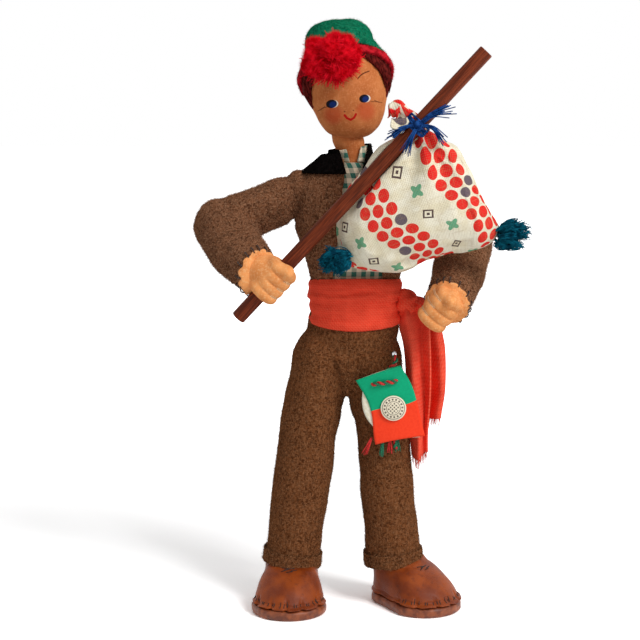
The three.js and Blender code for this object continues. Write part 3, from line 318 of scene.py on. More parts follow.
def plug(tree, slot, value):
    if isinstance(value, Wire):
        tree.links.new(value.output, slot)
    elif slot.type == "RGBA" and len(value) == 3:
        slot.default_value = (*value, 1)
    else:
        slot.default_value = value


class Wire:
    def __init__(self, tree, output):
        self.tree = tree
        self.output = output

    def maths(self, operation, *values):
        node = self.tree.nodes.new("ShaderNodeMath")
        node.operation = operation
        for slot, value in zip(node.inputs, values):
            plug(self.tree, slot, value)
        return Wire(self.tree, node.outputs[0])

    def __add__(self, other):
        return self.maths("ADD", self, other)

    def __radd__(self, other):
        return self.maths("ADD", other, self)

    def __sub__(self, other):
        return self.maths("SUBTRACT", self, other)

    def __rsub__(self, other):
        return self.maths("SUBTRACT", other, self)

    def __mul__(self, other):
        return self.maths("MULTIPLY", self, other)

    def __rmul__(self, other):
        return self.maths("MULTIPLY", other, self)

    def __truediv__(self, other):
        return self.maths("DIVIDE", self, other)

    def __rtruediv__(self, other):
        return self.maths("DIVIDE", other, self)

    def __mod__(self, other):
        return self.maths("FLOORED_MODULO", self, other)

    def __lt__(self, other):
        return self.maths("LESS_THAN", self, other)

    def __gt__(self, other):
        return self.maths("GREATER_THAN", self, other)

    def __abs__(self):
        return self.maths("ABSOLUTE", self)

    def most(self, other):
        return self.maths("MAXIMUM", self, other)

    def least(self, other):
        return self.maths("MINIMUM", self, other)

    def floor(self):
        return self.maths("FLOOR", self)

    def root(self):
        return self.maths("SQRT", self)

    def sine(self):
        return self.maths("SINE", self)

    def rise(self, low, high):
        # 0 below low, 1 above high, and an eased step between
        node = self.tree.nodes.new("ShaderNodeMapRange")
        node.interpolation_type = "SMOOTHSTEP"
        for slot, value in zip(node.inputs, (self, low, high)):
            plug(self.tree, slot, value)
        return Wire(self.tree, node.outputs[0])

    def fall(self, low, high):
        return 1 - self.rise(low, high)


class Finish:
    def __init__(self, name, **settings):
        self.material = bpy.data.materials.new(name)
        self.material.use_nodes = True
        self.tree = self.material.node_tree
        self.shader = self.tree.nodes["Principled BSDF"]
        for socket, value in settings.items():
            self.shader.inputs[socket.replace("_", " ")].default_value = value
        self.place = self.node("ShaderNodeTexCoord", output="Object")

    def node(self, kind, settings=None, sockets=None, output=0):
        made = self.tree.nodes.new(kind)
        for key, value in (settings or {}).items():
            setattr(made, key, value)
        for key, value in (sockets or {}).items():
            plug(self.tree, made.inputs[key], value)
        return Wire(self.tree, made.outputs[output])

    def split(self, vector):
        return [self.node("ShaderNodeSeparateXYZ", sockets={"Vector": vector}, output=i) for i in range(3)]

    def uv(self):
        return self.node("ShaderNodeTexCoord", output="UV")

    def noise(self, scale, detail=3, stretch=(1, 1, 1), at=None, turn=(0, 0, 0)):
        moved = self.node("ShaderNodeMapping", sockets={
            "Vector": at or self.place, "Scale": stretch, "Rotation": turn})
        return self.node("ShaderNodeTexNoise", sockets={"Vector": moved, "Scale": scale, "Detail": detail})

    def mix(self, share, first, second):
        return self.node("ShaderNodeMix", {"data_type": "RGBA"}, {0: share, 6: first, 7: second}, 2)

    def set(self, socket, value):
        plug(self.tree, self.shader.inputs[socket], value)

    def relief(self, height, depth, strength=1.0):
        self.set("Normal", self.node("ShaderNodeBump", sockets={
            "Height": height, "Distance": depth, "Strength": strength}))


def dye(red, green, blue):
    # a colour as an eye dropper reads it, made linear
    parts = [c / 255 for c in (red, green, blue)]
    return tuple(c / 12.92 if c <= 0.04045 else ((c + 0.055) / 1.055) ** 2.4 for c in parts)


def feltFinish(name, dark, main, light, fleck):
    felt = Finish(name, Roughness=1.0, Specular_IOR_Level=0.0)
    tuft = felt.noise(800, 5)
    strands = felt.noise(2300, 2, (1, 1, 0.22)).most(felt.noise(2300, 2, (0.22, 1, 1)))
    shade = (felt.noise(150, 3) * 0.25 + tuft * 0.75).rise(0.4, 0.57)
    tone = felt.mix(shade, dye(*dark), dye(*main))
    felt.set("Base Color", felt.mix(strands.rise(0.53, 0.66) * fleck, tone, dye(*light)))
    felt.relief(tuft * 0.6 + strands * 0.4, 0.8 * mm, 0.8)
    return felt.material


def napFinish(name, dark, light):
    # the loose fibres of a felt, each a little lighter or darker than its neighbour
    nap = Finish(name, Roughness=1.0, Specular_IOR_Level=0.0)
    nap.set("Base Color", nap.mix(nap.noise(1100, 2).rise(0.4, 0.58), dye(*dark), dye(*light)))
    return nap.material


def woolFinish(name, dark, main):
    wool = Finish(name, Roughness=0.95, Specular_IOR_Level=0.03)
    tone = wool.noise(420, 4).rise(0.34, 0.64)
    wool.set("Base Color", wool.mix(tone, dye(*dark), dye(*main)))
    wool.relief(wool.noise(2600, 3), 0.25 * mm, 0.6)
    return wool.material


def clothFinish(name, dark, main, light, pitch=1.05 * mm):
    # woven cotton, its threads along the piece's own UV in metres
    cloth = Finish(name, Roughness=0.92, Specular_IOR_Level=0.08)
    u, v, _ = cloth.split(cloth.uv())
    wander = cloth.noise(260, 2, (1, 1, 1), cloth.uv()) * 0.5 * mm
    warp = ((u + wander) * (2 * math.pi / pitch)).sine() * 0.5 + 0.5
    weft = ((v + wander) * (2 * math.pi / pitch)).sine() * 0.5 + 0.5
    twill = ((u + v + wander) * (2 * math.pi / (1.6 * pitch))).sine() * 0.5 + 0.5
    slub = cloth.noise(700, 3, (0.3, 1, 1), cloth.uv())
    tone = cloth.mix((slub * 0.5 + cloth.noise(120, 3) * 0.5).rise(0.34, 0.64), dye(*dark), dye(*main))
    cloth.set("Base Color", cloth.mix((warp * weft * 0.6 + twill * 0.4) * 0.5, tone, dye(*light)))
    cloth.relief(warp * 0.4 + weft * 0.4 + twill * 0.4 + slub * 0.5, 0.2 * mm, 0.6)
    return cloth.material


def plainFinish(name, dark, main, scale, roughness, depth=0.1 * mm, stretch=(1, 1, 1), **settings):
    plain = Finish(name, Roughness=roughness, **settings)
    grain = plain.noise(scale, 4, stretch)
    plain.set("Base Color", plain.mix(grain.rise(0.32, 0.66), dye(*dark), dye(*main)))
    plain.relief(grain, depth, 0.5)
    return plain.material


brownFelt = feltFinish("brownFelt", (78, 45, 27), (124, 80, 54), (180, 134, 102), 0.6)
brownNap = napFinish("brownNap", (62, 33, 18), (196, 148, 114))
trouserFelt = feltFinish("trouserFelt", (80, 44, 22), (116, 70, 40), (164, 114, 78), 0.5)
trouserNap = napFinish("trouserNap", (62, 34, 17), (178, 130, 94))
blackFelt = feltFinish("blackFelt", (5, 4, 4), (15, 12, 12), (40, 35, 34), 0.25)
blackNap = napFinish("blackNap", (6, 5, 5), (34, 29, 28))
greenFelt = feltFinish("greenFelt", (4, 84, 58), (12, 116, 82), (58, 150, 114), 0.4)
greenNap = napFinish("greenNap", (8, 92, 64), (50, 146, 110))
redWool = woolFinish("redWool", (212, 0, 18), (255, 30, 54))
bandWool = woolFinish("bandWool", (150, 18, 28), (206, 34, 48))
hairWool = woolFinish("hairWool", (62, 14, 12), (112, 34, 30))
tealWool = woolFinish("tealWool", (6, 58, 78), (16, 104, 126))
blueYarn = woolFinish("blueYarn", (14, 42, 92), (36, 82, 150))
redCotton = clothFinish("redCotton", (230, 56, 34), (248, 72, 48), (255, 122, 92))
# the tails' cotton is the sash's red cotton made lighter: painted light, against the shade that the hand and
# bundle cast on the tails
tailCotton = clothFinish("tailCotton", (226, 58, 38), (250, 80, 56), (255, 132, 104))
fillWadding = plainFinish("fillWadding", (206, 198, 182), (236, 230, 218), 300, 0.95)
darkThread = plainFinish("darkThread", (20, 10, 6), (44, 24, 16), 1500, 0.8)
paleThread = plainFinish("paleThread", (232, 176, 118), (252, 220, 174), 1500, 0.8)
steel = plainFinish("wireSteel", (150, 150, 152), (205, 205, 208), 900, 0.28, 0.02 * mm, Metallic=1.0)
creamPaper = plainFinish("creamPaper", (228, 218, 190), (244, 238, 218), 700, 0.75, 0.03 * mm)
redThread = plainFinish("redThread", (170, 22, 22), (222, 44, 40), 1500, 0.75)
greenThread = plainFinish("greenThread", (8, 62, 44), (20, 122, 84), 1500, 0.75)
print("finishes for felt, wool and cotton are mixed")


# Camera, light and floor

view = {"target": (-17.44, 18.471, 138.65), "distance": 800, "elevation": 8, "lens": 94.2, "sensor": 36}
light = {
    "key": 11.0, "keyPlace": (0.7, -0.72, 0.95), "keySize": 0.5, "fill": 0.45, "floorBase": 0.8,
    "floor": 1.9, "farFloor": 3.4, "floorFade": (0.25, 0.9), "floorSize": 8, "floorBack": 2,
}

target = Vector(view["target"]) * mm
rise = math.radians(view["elevation"])
cameraData = bpy.data.cameras.new("camera")
cameraData.lens = view["lens"]
cameraData.sensor_width = view["sensor"]
cameraData.clip_start = 0.01
camera = bpy.data.objects.new("camera", cameraData)
scene.collection.objects.link(camera)
camera.location = target + view["distance"] * mm * Vector((0, -math.cos(rise), math.sin(rise)))
camera.rotation_euler = (target - camera.location).to_track_quat("-Z", "Y").to_euler()
scene.camera = camera
scene.view_settings.view_transform = "Standard"

keyData = bpy.data.lights.new("keyLamp", "AREA")
keyData.energy = light["key"]
keyData.size = light["keySize"]
key = bpy.data.objects.new("keyLamp", keyData)
scene.collection.objects.link(key)
key.location = Vector(light["keyPlace"])
key.rotation_euler = (target - key.location).to_track_quat("-Z", "Y").to_euler()


def seenRays(tree):
    # 1 for rays that show a surface to the camera, straight or in a reflection
    path = tree.nodes.new("ShaderNodeLightPath")
    straight, glossy, through = [Wire(tree, path.outputs[n])
                                for n in ("Is Camera Ray", "Is Glossy Ray", "Is Transmission Ray")]
    return straight.most(glossy).most(through)


world = bpy.data.worlds.new("studio")
world.use_nodes = True
scene.world = world
skyTree = world.node_tree
sky = skyTree.nodes["Background"]
sky.inputs["Color"].default_value = (1, 1, 1, 1)
plug(skyTree, sky.inputs["Strength"], light["fill"] + (1 - light["fill"]) * seenRays(skyTree))

bpy.ops.object.select_all(action="DESELECT")
bpy.ops.mesh.primitive_plane_add(size=light["floorSize"], location=(0, light["floorBack"], 0))
floor = bpy.context.object
floor.name = "floor"
bpy.ops.object.transform_apply(location=True)
floorPaint = Finish("floorPaint", Roughness=1.0, Specular_IOR_Level=0.0)
x, y, _ = floorPaint.split(floorPaint.place)
farOut = (x * x + y * y).root().rise(*light["floorFade"])
shownTone = floorPaint.mix(farOut, (light["floor"],) * 3, (light["farFloor"],) * 3)
floorTone = floorPaint.mix(seenRays(floorPaint.tree), (light["floorBase"],) * 3, shownTone)
floorPaint.set("Base Color", floorTone)
floor.data.materials.append(floorPaint.material)
print("camera, light and floor are set")


def dress(piece, finish, slotName, body=None, nodes=(), bend=None):
    # finish, slot name (not used), the solids it stands for, and the body it moves with
    piece.data.materials.clear()
    piece.data.materials.append(finish)
    if nodes:
        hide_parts(*nodes)
    if bend:
        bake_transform(piece)
    else:
        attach(piece, body)
    return piece


# Felt jacket, sleeves and trousers

suit = {
    "voxel": 0.7 * mm, "napLength": 2.0 * mm, "napRadius": 0.05 * mm, "napLean": 1.1,
    "nap": 30000, "jacketNap": 35000, "cuffNap": 6000, "collarNap": 4000, "collarNapLength": 1.1 * mm,
    "elbowBlend": 10 * mm, "hipBlend": (13 * mm, 14 * mm), "crotch": -4.34 * mm,
    "shoulderBall": 10.7 * mm, "seatHalf": (16.5 * mm, 13.8 * mm, 20 * mm), "seatHeight": 124 * mm,
    "waistHalf": (22 * mm, 16.4 * mm, 22 * mm), "waistHeight": 135 * mm, "waistShift": 3 * mm,
    "crotchFill": (((-10, 110), (6.5, 10, 10)), ((1.3, 110), (6.5, 10, 10)),
                   ((-10.6, 108), (5.4, 9, 14)), ((1.7, 107), (5.6, 9, 18))),
    "hipRise": (92 * mm, 112 * mm), "hipEnd": (126 * mm, 140 * mm), "hipSide": (12 * mm, 22 * mm),
    "hipTrim": 0.8 * mm, "cuffTrim": 0.9 * mm, "crease": 1.3 * mm, "creaseReach": 2.2 * mm,
    "wrist": {"right": (-47.12, -16.15, 167.6), "left": (43.3, -7.74, 155.0)},
    "reach": {"right": 3.8 * mm, "left": 8.0 * mm}, "slant": {"right": 0.32, "left": 0.3},
    "low": {"right": (-0.79, 0, -0.61), "left": (0.79, 0, -0.61)},
    "belly": {"right": 2.4 * mm, "left": 0.8 * mm}, "bellyFull": 0.6, "bellyThins": 0.7, "bellyLoss": 0.6,
    "cuffZone": 11 * mm, "handClear": 1.3 * mm, "endFace": 0.75,
}


def napOn(source, finish, slotName, count=suit["nap"], seed=1, length=suit["napLength"], **rides):
    fuzz = fuzzOn(source.name + "Nap", source, {
        "count": count, "length": length, "seed": seed,
        "radius": suit["napRadius"], "lean": suit["napLean"]})
    return dress(fuzz, finish, slotName, **rides)


stuffing = softCopy("torsoStuffing", ["torso_stuffing"], 1.6 * mm, rounds=6)
dress(stuffing, fillWadding, "stuffing", "torso", ["torso_stuffing"])

jacketNodes = ["jacket_front_right", "jacket_front_left", "jacket_back"]
shoulderFill = [(jointPlace[side + "_shoulder"], (suit["shoulderBall"],) * 3) for side in ("right", "left")]
jacket = softCopy("jacket", jacketNodes, suit["voxel"], 0.3 * mm, 10, shoulderFill)
lumpy(jacket, 110, 0.6)


def creaseAgainst(piece, tree):
    # a seam line: the surface dips where it meets another
    near = np.array([tree.find_nearest(Vector(p))[3] for p in pointsOf(piece)])
    swell(piece, -suit["crease"] * np.exp(-(near / suit["creaseReach"]) ** 2))


armWay, sleeveTree = {}, {}
for side in ("right", "left"):
    wrist = Vector(suit["wrist"][side]) * mm
    armWay[side] = (jointPlace[side + "_shoulder"], jointPlace[side + "_elbow"], wrist)


def cuffReach(side, offset):
    # how far the sleeve comes down over the hand, further on its lower side
    low = Vector(suit["low"][side])
    along = (armWay[side][2] - armWay[side][1]).normalized()
    low = (low - along * low.dot(along)).normalized()
    return np.maximum(0, suit["reach"][side] + suit["slant"][side] * (offset @ np.array(low)))


def overHand(sleeve, side):
    # the sleeve's end is drawn over the hand, and stays outside it
    _, elbow, wrist = armWay[side]
    along = (wrist - elbow).normalized()
    low = Vector(suit["low"][side])
    points, normals = pointsOf(sleeve), normalsOf(sleeve)
    gone = (points - np.array(elbow)) @ np.array(along)
    whole = (wrist - elbow).length
    belly = suit["belly"][side] * np.clip(normals @ np.array(low), 0, 1)
    belly = belly * eased(gone, 0, suit["bellyFull"] * whole)
    belly = belly * (1 - suit["bellyLoss"] * eased(gone, suit["bellyThins"] * whole, whole))
    points += normals * belly[:, None]
    ends = eased(gone, whole - suit["cuffZone"], whole)
    points += np.array(along) * (ends * cuffReach(side, points - np.array(wrist)))[:, None]
    hand = treeOf(frame["nodes"][side + "_hand"])
    facing = np.abs(normals @ np.array(along)) < suit["endFace"]
    for i in np.nonzero((ends > 0.02) & facing)[0]:
        hit, normal, _, _ = hand.find_nearest(Vector(points[i]))
        away = (Vector(points[i]) - hit).dot(normal)
        if away < suit["handClear"]:
            points[i] = hit + normal * suit["handClear"]
    setPoints(sleeve, points)


for side, (shoulder, elbow, wrist) in armWay.items():
    nodes = [side + "_upper_sleeve", side + "_lower_sleeve"]
    sleeve = softCopy(side + "Sleeve", nodes, suit["voxel"], 0.5 * mm, 14)
    overHand(sleeve, side)
    finishWith(sleeve, "SMOOTH", factor=0.5, iterations=4)
    lumpy(sleeve, 100, 0.8, 3.1, 0.2 * mm)
    jacketTree, sleeveSkin = treeOf(jacket), treeOf(sleeve)
    creaseAgainst(jacket, sleeveSkin)
    creaseAgainst(sleeve, jacketTree)
    down, on = (elbow - shoulder).normalized(), (wrist - elbow).normalized()
    bend = (side + "_arm", side + "_forearm",
            elbow - down * suit["elbowBlend"], elbow + on * suit["elbowBlend"])
    sleeveTree[side] = treeOf(sleeve)
    napOn(sleeve, brownNap, "brown_felt", seed=3, bend=bend)
    dress(sleeve, brownFelt, "brown_felt", nodes=nodes, bend=bend)
napOn(jacket, brownNap, "brown_felt", suit["jacketNap"], 2, body="torso")
dress(jacket, brownFelt, "brown_felt", "torso", jacketNodes)

trouserNodes = ["trouser_seat", "right_trouser_leg", "left_trouser_leg"]
middleY = jointPlace["right_hip"].y
seatFill = [(Vector((suit["crotch"], middleY, suit["seatHeight"])), suit["seatHalf"]),
            (Vector((suit["crotch"] + suit["waistShift"], middleY, suit["waistHeight"])), suit["waistHalf"])]
for (x, z), half in suit["crotchFill"]:
    seatFill.append((Vector((x * mm, middleY, z * mm)), tuple(h * mm for h in half)))
trousers = softCopy("rightTrouser", trouserNodes, 0.8 * mm, 0.4 * mm, 16, seatFill)
points = pointsOf(trousers)
hips = eased(points[:, 2], *suit["hipRise"]) * (1 - eased(points[:, 2], *suit["hipEnd"]))
hips = hips * eased(np.abs(points[:, 0] - suit["crotch"]), *suit["hipSide"])
lumpy(trousers, 80, 0.9, 7.7, -suit["hipTrim"] * hips)
leftTrouser = bpy.data.objects.new("leftTrouser", trousers.data.copy())
scene.collection.objects.link(leftTrouser)
for side, half in (("right", trousers), ("left", leftTrouser)):
    inEditMode(half, (bpy.ops.mesh.bisect, {
        "plane_co": (suit["crotch"], 0, 0), "plane_no": (1, 0, 0), "use_fill": True,
        "clear_outer": side == "right", "clear_inner": side == "left"}))
    hip = jointPlace[side + "_hip"]
    above, below = suit["hipBlend"]
    bend = ("torso", side + "_leg", hip + Vector((0, 0, above)), hip - Vector((0, 0, below)))
    napOn(half, trouserNap, "trouser_felt", seed=5, bend=bend)
    nodes = [side + "_trouser_leg"] + (["trouser_seat"] if side == "right" else [])
    dress(half, trouserFelt, "trouser_felt", nodes=nodes, bend=bend)
    cuff = softCopy(side + "Cuff", [side + "_trouser_cuff"], 0.45 * mm, rounds=6)
    lumpy(cuff, 160, 0.4, 1.3, -suit["cuffTrim"])
    napOn(cuff, trouserNap, "trouser_felt", suit["cuffNap"], 6, body=side + "_leg")
    dress(cuff, trouserFelt, "trouser_felt", side + "_leg", [side + "_trouser_cuff"])

collar = softCopy("feltCollar", ["felt_collar"], 0.45 * mm, rounds=6)
collarNap = napOn(collar, blackNap, "black_felt", suit["collarNap"], 8, suit["collarNapLength"],
                  body="torso")
dress(collar, blackFelt, "black_felt", "torso", ["felt_collar"])
low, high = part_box("felt_collar")
print("suit is sewn")


# Checked shirt

check = {"pitch": 4.6 * mm, "dark": (48, 112, 98), "pale": (240, 224, 196)}

shirting = Finish("checkCotton", Roughness=0.9, Specular_IOR_Level=0.2)
x, y, z = shirting.split(shirting.place)
across = ((x + y * 0.6) % check["pitch"]) < check["pitch"] / 2
upright = (z % check["pitch"]) < check["pitch"] / 2
weave = shirting.noise(2200, 2)
squares = (across + upright) * 0.5 * (0.75 + 0.5 * weave)
shirting.set("Base Color", shirting.mix(squares, dye(*check["pale"]), dye(*check["dark"])))
shirting.relief(weave, 0.15 * mm, 0.6)
shirt = {}
for name, node in (("shirtFront", "shirt_front"), ("shirtCollar", "shirt_collar")):
    shirt[name] = softCopy(name, [node], 0.4 * mm, rounds=3)
    dress(shirt[name], shirting.material, "check_cotton", "torso", [node])
low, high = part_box("shirt_front")
print("shirt is cut")


# Head: stuffed cotton with a painted face, hair, cap and pompom

face = {
    "tilt": 8.9, "eyes": (((-5.4, 16.75), (2.5, 1.92)), ((9.8, 16.85), (2.3, 1.85))),
    "eyeWhite": ((0.75, -0.15), (0.95, 0.92)), "eyeBlue": ((0.6, -0.35), (0.66, 0.72)),
    "lashes": (((-7.6, 15.8), (-9.8, 15.3), (-12.0, 14.4)), ((-8.6, 16.0), (-11.0, 14.8)),
               ((12.6, 15.0), (15.4, 14.5), (17.9, 13.6)), ((14.4, 15.3), (16.6, 14.0))),
    "brow": ((8.2, 26.2), (9.3, 27.2), (10.7, 28.0), (12.3, 28.5), (13.9, 28.8)),
    "nostrils": ((0.04, 12.4), (4.1, 12.3)), "nostrilHalf": (0.38, 0.3),
    "mouth": ((-0.2, 10.7), (0.6, 9.3), (2.25, 8.2), (3.9, 8.9), (5.0, 10.4)),
    "lashHalf": 0.16, "browHalf": 0.26, "lipHalf": 0.52,
    "cheeks": ((-5.3, 11.7), (9.7, 11.0)), "cheekHalf": 4.2,
    "plump": 0.35 * mm, "jaw": 1.7 * mm, "jawBand": (2 * mm, 15 * mm), "neck": 0.16,
    "skin": (208, 126, 72), "skinDark": (190, 108, 58), "skinLight": (226, 150, 98), "blush": (192, 62, 34),
    "blue": (22, 46, 108), "white": (240, 232, 220), "line": (14, 12, 18), "browLine": (86, 40, 20),
    "lips": (186, 20, 18),
}


def skinFinish(name, painted, dark, main, light):
    skin = Finish(name, Roughness=0.88, Specular_IOR_Level=0.12)
    tone = skin.mix(skin.noise(140, 4).rise(0.35, 0.65), dye(*dark), dye(*main))
    knit = skin.noise(1500, 2, (1, 1, 0.4)) * 0.5 + skin.noise(1500, 2, (0.4, 1, 1)) * 0.5
    tone = skin.mix(knit.rise(0.46, 0.66) * 0.45, tone, dye(*light))
    skin.relief(knit, 0.3 * mm, 0.6)
    if painted:
        tone = paintFace(skin, tone)
    skin.set("Base Color", tone)
    return skin.material


def paintFace(skin, tone):
    neck = jointPlace["head_turn"]
    turn = math.radians(face["tilt"])
    x, y, z = skin.split(skin.place)
    u = ((x - neck.x) * math.cos(turn) + (z - neck.z) * math.sin(turn)) * 1000
    v = ((z - neck.z) * math.cos(turn) - (x - neck.x) * math.sin(turn)) * 1000
    front = y < neck.y

    def oval(centre, half, soft=0.12):
        du, dv = (u - centre[0]) / half[0], (v - centre[1]) / half[1]
        return (du * du + dv * dv).fall(1 - soft, 1 + soft) * front

    def stroke(start, end, half, soft):
        wayU, wayV = end[0] - start[0], end[1] - start[1]
        along = ((u - start[0]) * wayU + (v - start[1]) * wayV) / (wayU * wayU + wayV * wayV)
        along = along.most(0.0).least(1.0)
        du, dv = u - start[0] - along * wayU, v - start[1] - along * wayV
        return (du * du + dv * dv).root().fall(half - soft, half + soft) * front

    def brush(points, half, soft=0.15):
        marks = [stroke(a, b, half, soft) for a, b in zip(points, points[1:])]
        whole = marks[0]
        for mark in marks[1:]:
            whole = whole.most(mark)
        return whole

    def inEye(eye, shift, size, soft=0.12):
        # an oval beside the eye's middle, its size a share of the eye's
        (cu, cv), (hu, hv) = eye
        return oval((cu + shift[0], cv + shift[1]), (hu * size[0], hv * size[1]), soft)

    for centre in face["cheeks"]:
        tone = skin.mix(oval(centre, (face["cheekHalf"],) * 2, 0.9) * 0.6, tone, dye(*face["blush"]))
    for eye in face["eyes"]:
        tone = skin.mix(inEye(eye, *face["eyeWhite"]), tone, dye(*face["white"]))
        iris = oval(*eye)
        tone = skin.mix(iris, tone, dye(*face["line"]))
        tone = skin.mix(inEye(eye, *face["eyeBlue"], soft=0.5) * iris, tone, dye(*face["blue"]))
    for lash in face["lashes"]:
        tone = skin.mix(brush(lash, face["lashHalf"]) * 0.8, tone, dye(*face["browLine"]))
    tone = skin.mix(brush(face["brow"], face["browHalf"]), tone, dye(*face["browLine"]))
    for nostril in face["nostrils"]:
        tone = skin.mix(oval(nostril, face["nostrilHalf"], 0.5) * 0.85, tone, dye(*face["browLine"]))
    return skin.mix(brush(face["mouth"], face["lipHalf"]), tone, dye(*face["lips"]))


skinCotton = skinFinish("skinCotton", False, (226, 144, 82), (250, 168, 101), (255, 206, 148))
faceCotton, neckCotton = [skinFinish(name, painted, face["skinDark"], face["skin"], face["skinLight"])
                          for name, painted in (("faceCotton", True), ("neckCotton", False))]
headSkin = softCopy("headSkin", ["head_stuffed"], 0.8 * mm, rounds=40)
points = pointsOf(headSkin)
upHead = (points - np.array(jointPlace["head_turn"])) @ np.array(jointAxis["head_turn"])
swell(headSkin, face["plump"] + face["jaw"] * (1 - eased(upHead, *face["jawBand"])))
dress(headSkin, faceCotton, "skin_cotton", "head", ["head_stuffed"])
neckSkin = softCopy("neckSkin", ["neck"], 0.8 * mm, rounds=8)
points, collarTop = pointsOf(neckSkin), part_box("shirt_collar")[1].z
low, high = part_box("neck")
wider = face["neck"] * eased(points[:, 2], collarTop - 3 * mm, collarTop + 2 * mm)
points[:, 0] += (points[:, 0] - (low.x + high.x) / 2) * wider
points[:, 1] += (points[:, 1] - (low.y + high.y) / 2) * wider
setPoints(neckSkin, points)
dress(neckSkin, neckCotton, "skin_cotton", "torso", ["neck"])

cap = {
    "tufts": 70, "tuftFibres": 14, "fibre": 0.2 * mm, "droop": 1.0 * mm, "ragged": 1.5 * mm, "seed": 11,
    "puff": 0.115, "puffSink": -2.3 * mm, "puffHigh": 6.5 * mm, "broad": 1.06,
    "nudge": (1.0 * mm, 0, -1.2 * mm),
    "fluff": {"count": 26000, "length": 3.0 * mm, "radius": 0.07 * mm, "lean": 0.7, "seed": 16},
    "boxy": 0.1, "bandNap": 9000, "bandNapLength": 1.4 * mm, "crownNap": 12000, "crownNapLength": 1.5 * mm,
    "headMiddle": 22, "hairOut": 0.5 * mm, "hairTuck": 0.7, "hairTaper": (9 * mm, 25 * mm),
    "combFrom": 21 * mm, "hairStrands": 900, "hairLength": 6.0 * mm, "hairRadius": 0.3 * mm,
    "hairLift": 0.15 * mm, "hairSteps": 5, "hairStray": 0.22, "hairSeed": 12,
    "hairPins": (((1.6, 259.3), (4.3, 257.4)), ((4.6, 258.6), (7.6, 256.2)), ((3.0, 256.9), (5.4, 255.2))),
}
headTurn, headUp = jointPlace["head_turn"], jointAxis["head_turn"]
headSide = Vector((headUp.z, 0, -headUp.x))
headMiddle = headTurn + headUp * cap["headMiddle"] * mm


def combed(name, piece, way):
    # hair combed one way over its felt, each strand stepping along the surface
    rng = random.Random(cap["hairSeed"])
    tree = treeOf(piece)
    faces = piece.data.polygons
    weights = [f.area for f in faces]
    steps, radius = cap["hairSteps"], cap["hairRadius"]
    paths = []
    for f in rng.choices(faces, weights, k=cap["hairStrands"]):
        place, normal = Vector(f.center), Vector(f.normal)
        outside = normal.dot(place - headMiddle) > 0
        if not (outside and (place - headTurn).dot(headUp) > cap["combFrom"]):
            continue
        path = []
        drift = astray(rng) * cap["hairStray"]
        reach = cap["hairLength"] * rng.uniform(0.6, 1)
        for _ in range(steps + 1):
            path.append(place + normal * (cap["hairLift"] + radius * rng.uniform(-0.3, 0.6)))
            ahead = way + drift
            ahead = (ahead - normal * ahead.dot(normal)).normalized() * reach / steps
            place, normal, _, _ = tree.find_nearest(place + ahead)
        paths.append(path)
    return threads(name, paths, radius, tip=0.55)


hair = softCopy("hairFelt", ["hair"], 0.4 * mm, rounds=4)
swell(hair, cap["hairOut"])
headTree = treeOf(headSkin)


def tuckedIn(point):
    # the hair's lower edge goes in under the skin
    hit, normal, _, _ = headTree.find_nearest(Vector(point))
    return tuple(hit - normal * cap["hairTuck"] * mm)


points = pointsOf(hair)
upHead = (points - np.array(headTurn)) @ np.array(headUp)
tucked = np.array([tuckedIn(p) for p in points])
setPoints(hair, points + (tucked - points) * (1 - eased(upHead, *cap["hairTaper"]))[:, None])
hairStrands = combed("hairStrands", hair, -headUp)
hairTree = treeOf(hair)
pinPaths = []
for (ax, az), (bx, bz) in cap["hairPins"]:
    path = []
    for t in (0, 0.33, 0.67, 1):
        spot = Vector((ax * mm + (bx - ax) * mm * t, headMiddle.y, az * mm + (bz - az) * mm * t))
        path.append(onSkin(hairTree, spot, Vector((0, -1, 0)), 0.35 * mm, 60 * mm))
    pinPaths.append(path)
hairStitches = threads("hairStitches", pinPaths, 0.5 * mm, tip=0.8, roundness=1)
dress(hairStitches, darkThread, "hair_felt", "head")
dress(hairStrands, hairWool, "hair_felt", "head")
dress(hair, hairWool, "hair_felt", "head", ["hair"])

band = softCopy("capBand", ["cap_band"], 0.5 * mm, rounds=8)
napOn(band, bandWool, "red_wool", cap["bandNap"], 14, cap["bandNapLength"], body="head")
dress(band, bandWool, "red_wool", "head", ["cap_band"])
crown = softCopy("capCrown", ["cap_crown"], 0.7 * mm, rounds=16)
low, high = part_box("cap_crown")
offset = pointsOf(crown) - np.array((low + high) / 2)
angle = np.arctan2(offset @ np.array(headUp), offset @ np.array(headSide))
setPoints(crown, pointsOf(crown) + offset * (cap["boxy"] * np.sin(2 * angle) ** 2 * (angle > 0))[:, None])
lumpy(crown, 110, 0.9, 5.0)
napOn(crown, greenNap, "green_felt", cap["crownNap"], 15, cap["crownNapLength"], body="head")
dress(crown, greenFelt, "green_felt", "head", ["cap_crown"])


def tufted(name, root, ends, fibres, radius, spread, droop, seed):
    # soft yarn: tufts of fine fibres that open out towards their ends
    rng = random.Random(seed)
    paths = []
    for end in ends:
        start, bow = root + astray(rng, 1.0 * mm), astray(rng, 1.5 * mm)
        for _ in range(fibres):
            tip = start.lerp(end, rng.uniform(0.84, 1.05)) + astray(rng, spread)
            loose = astray(rng, 0.5 * mm)
            path = []
            for i in range(6):
                t = 0.15 + 0.85 * i / 5
                path.append(start.lerp(tip, t) + (bow + loose) * math.sin(math.pi * t)
                            - Vector((0, 0, droop * t * t * t)))
            paths.append(path)
    return threads(name, paths, radius, tip=0.6)


def ballEnds(node, count, seed, keep):
    # places all over an oval, where they are wanted
    rng = random.Random(seed)
    low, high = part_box(node)
    middle, half = (low + high) / 2, (high - low) / 2
    ends = []
    while len(ends) < count:
        way = astray(rng).normalized()
        if keep(way):
            reach = Vector((way.x * half.x, way.y * half.y, way.z * half.z))
            ends.append(middle + reach * rng.uniform(0.86, 1.0))
    return middle, ends


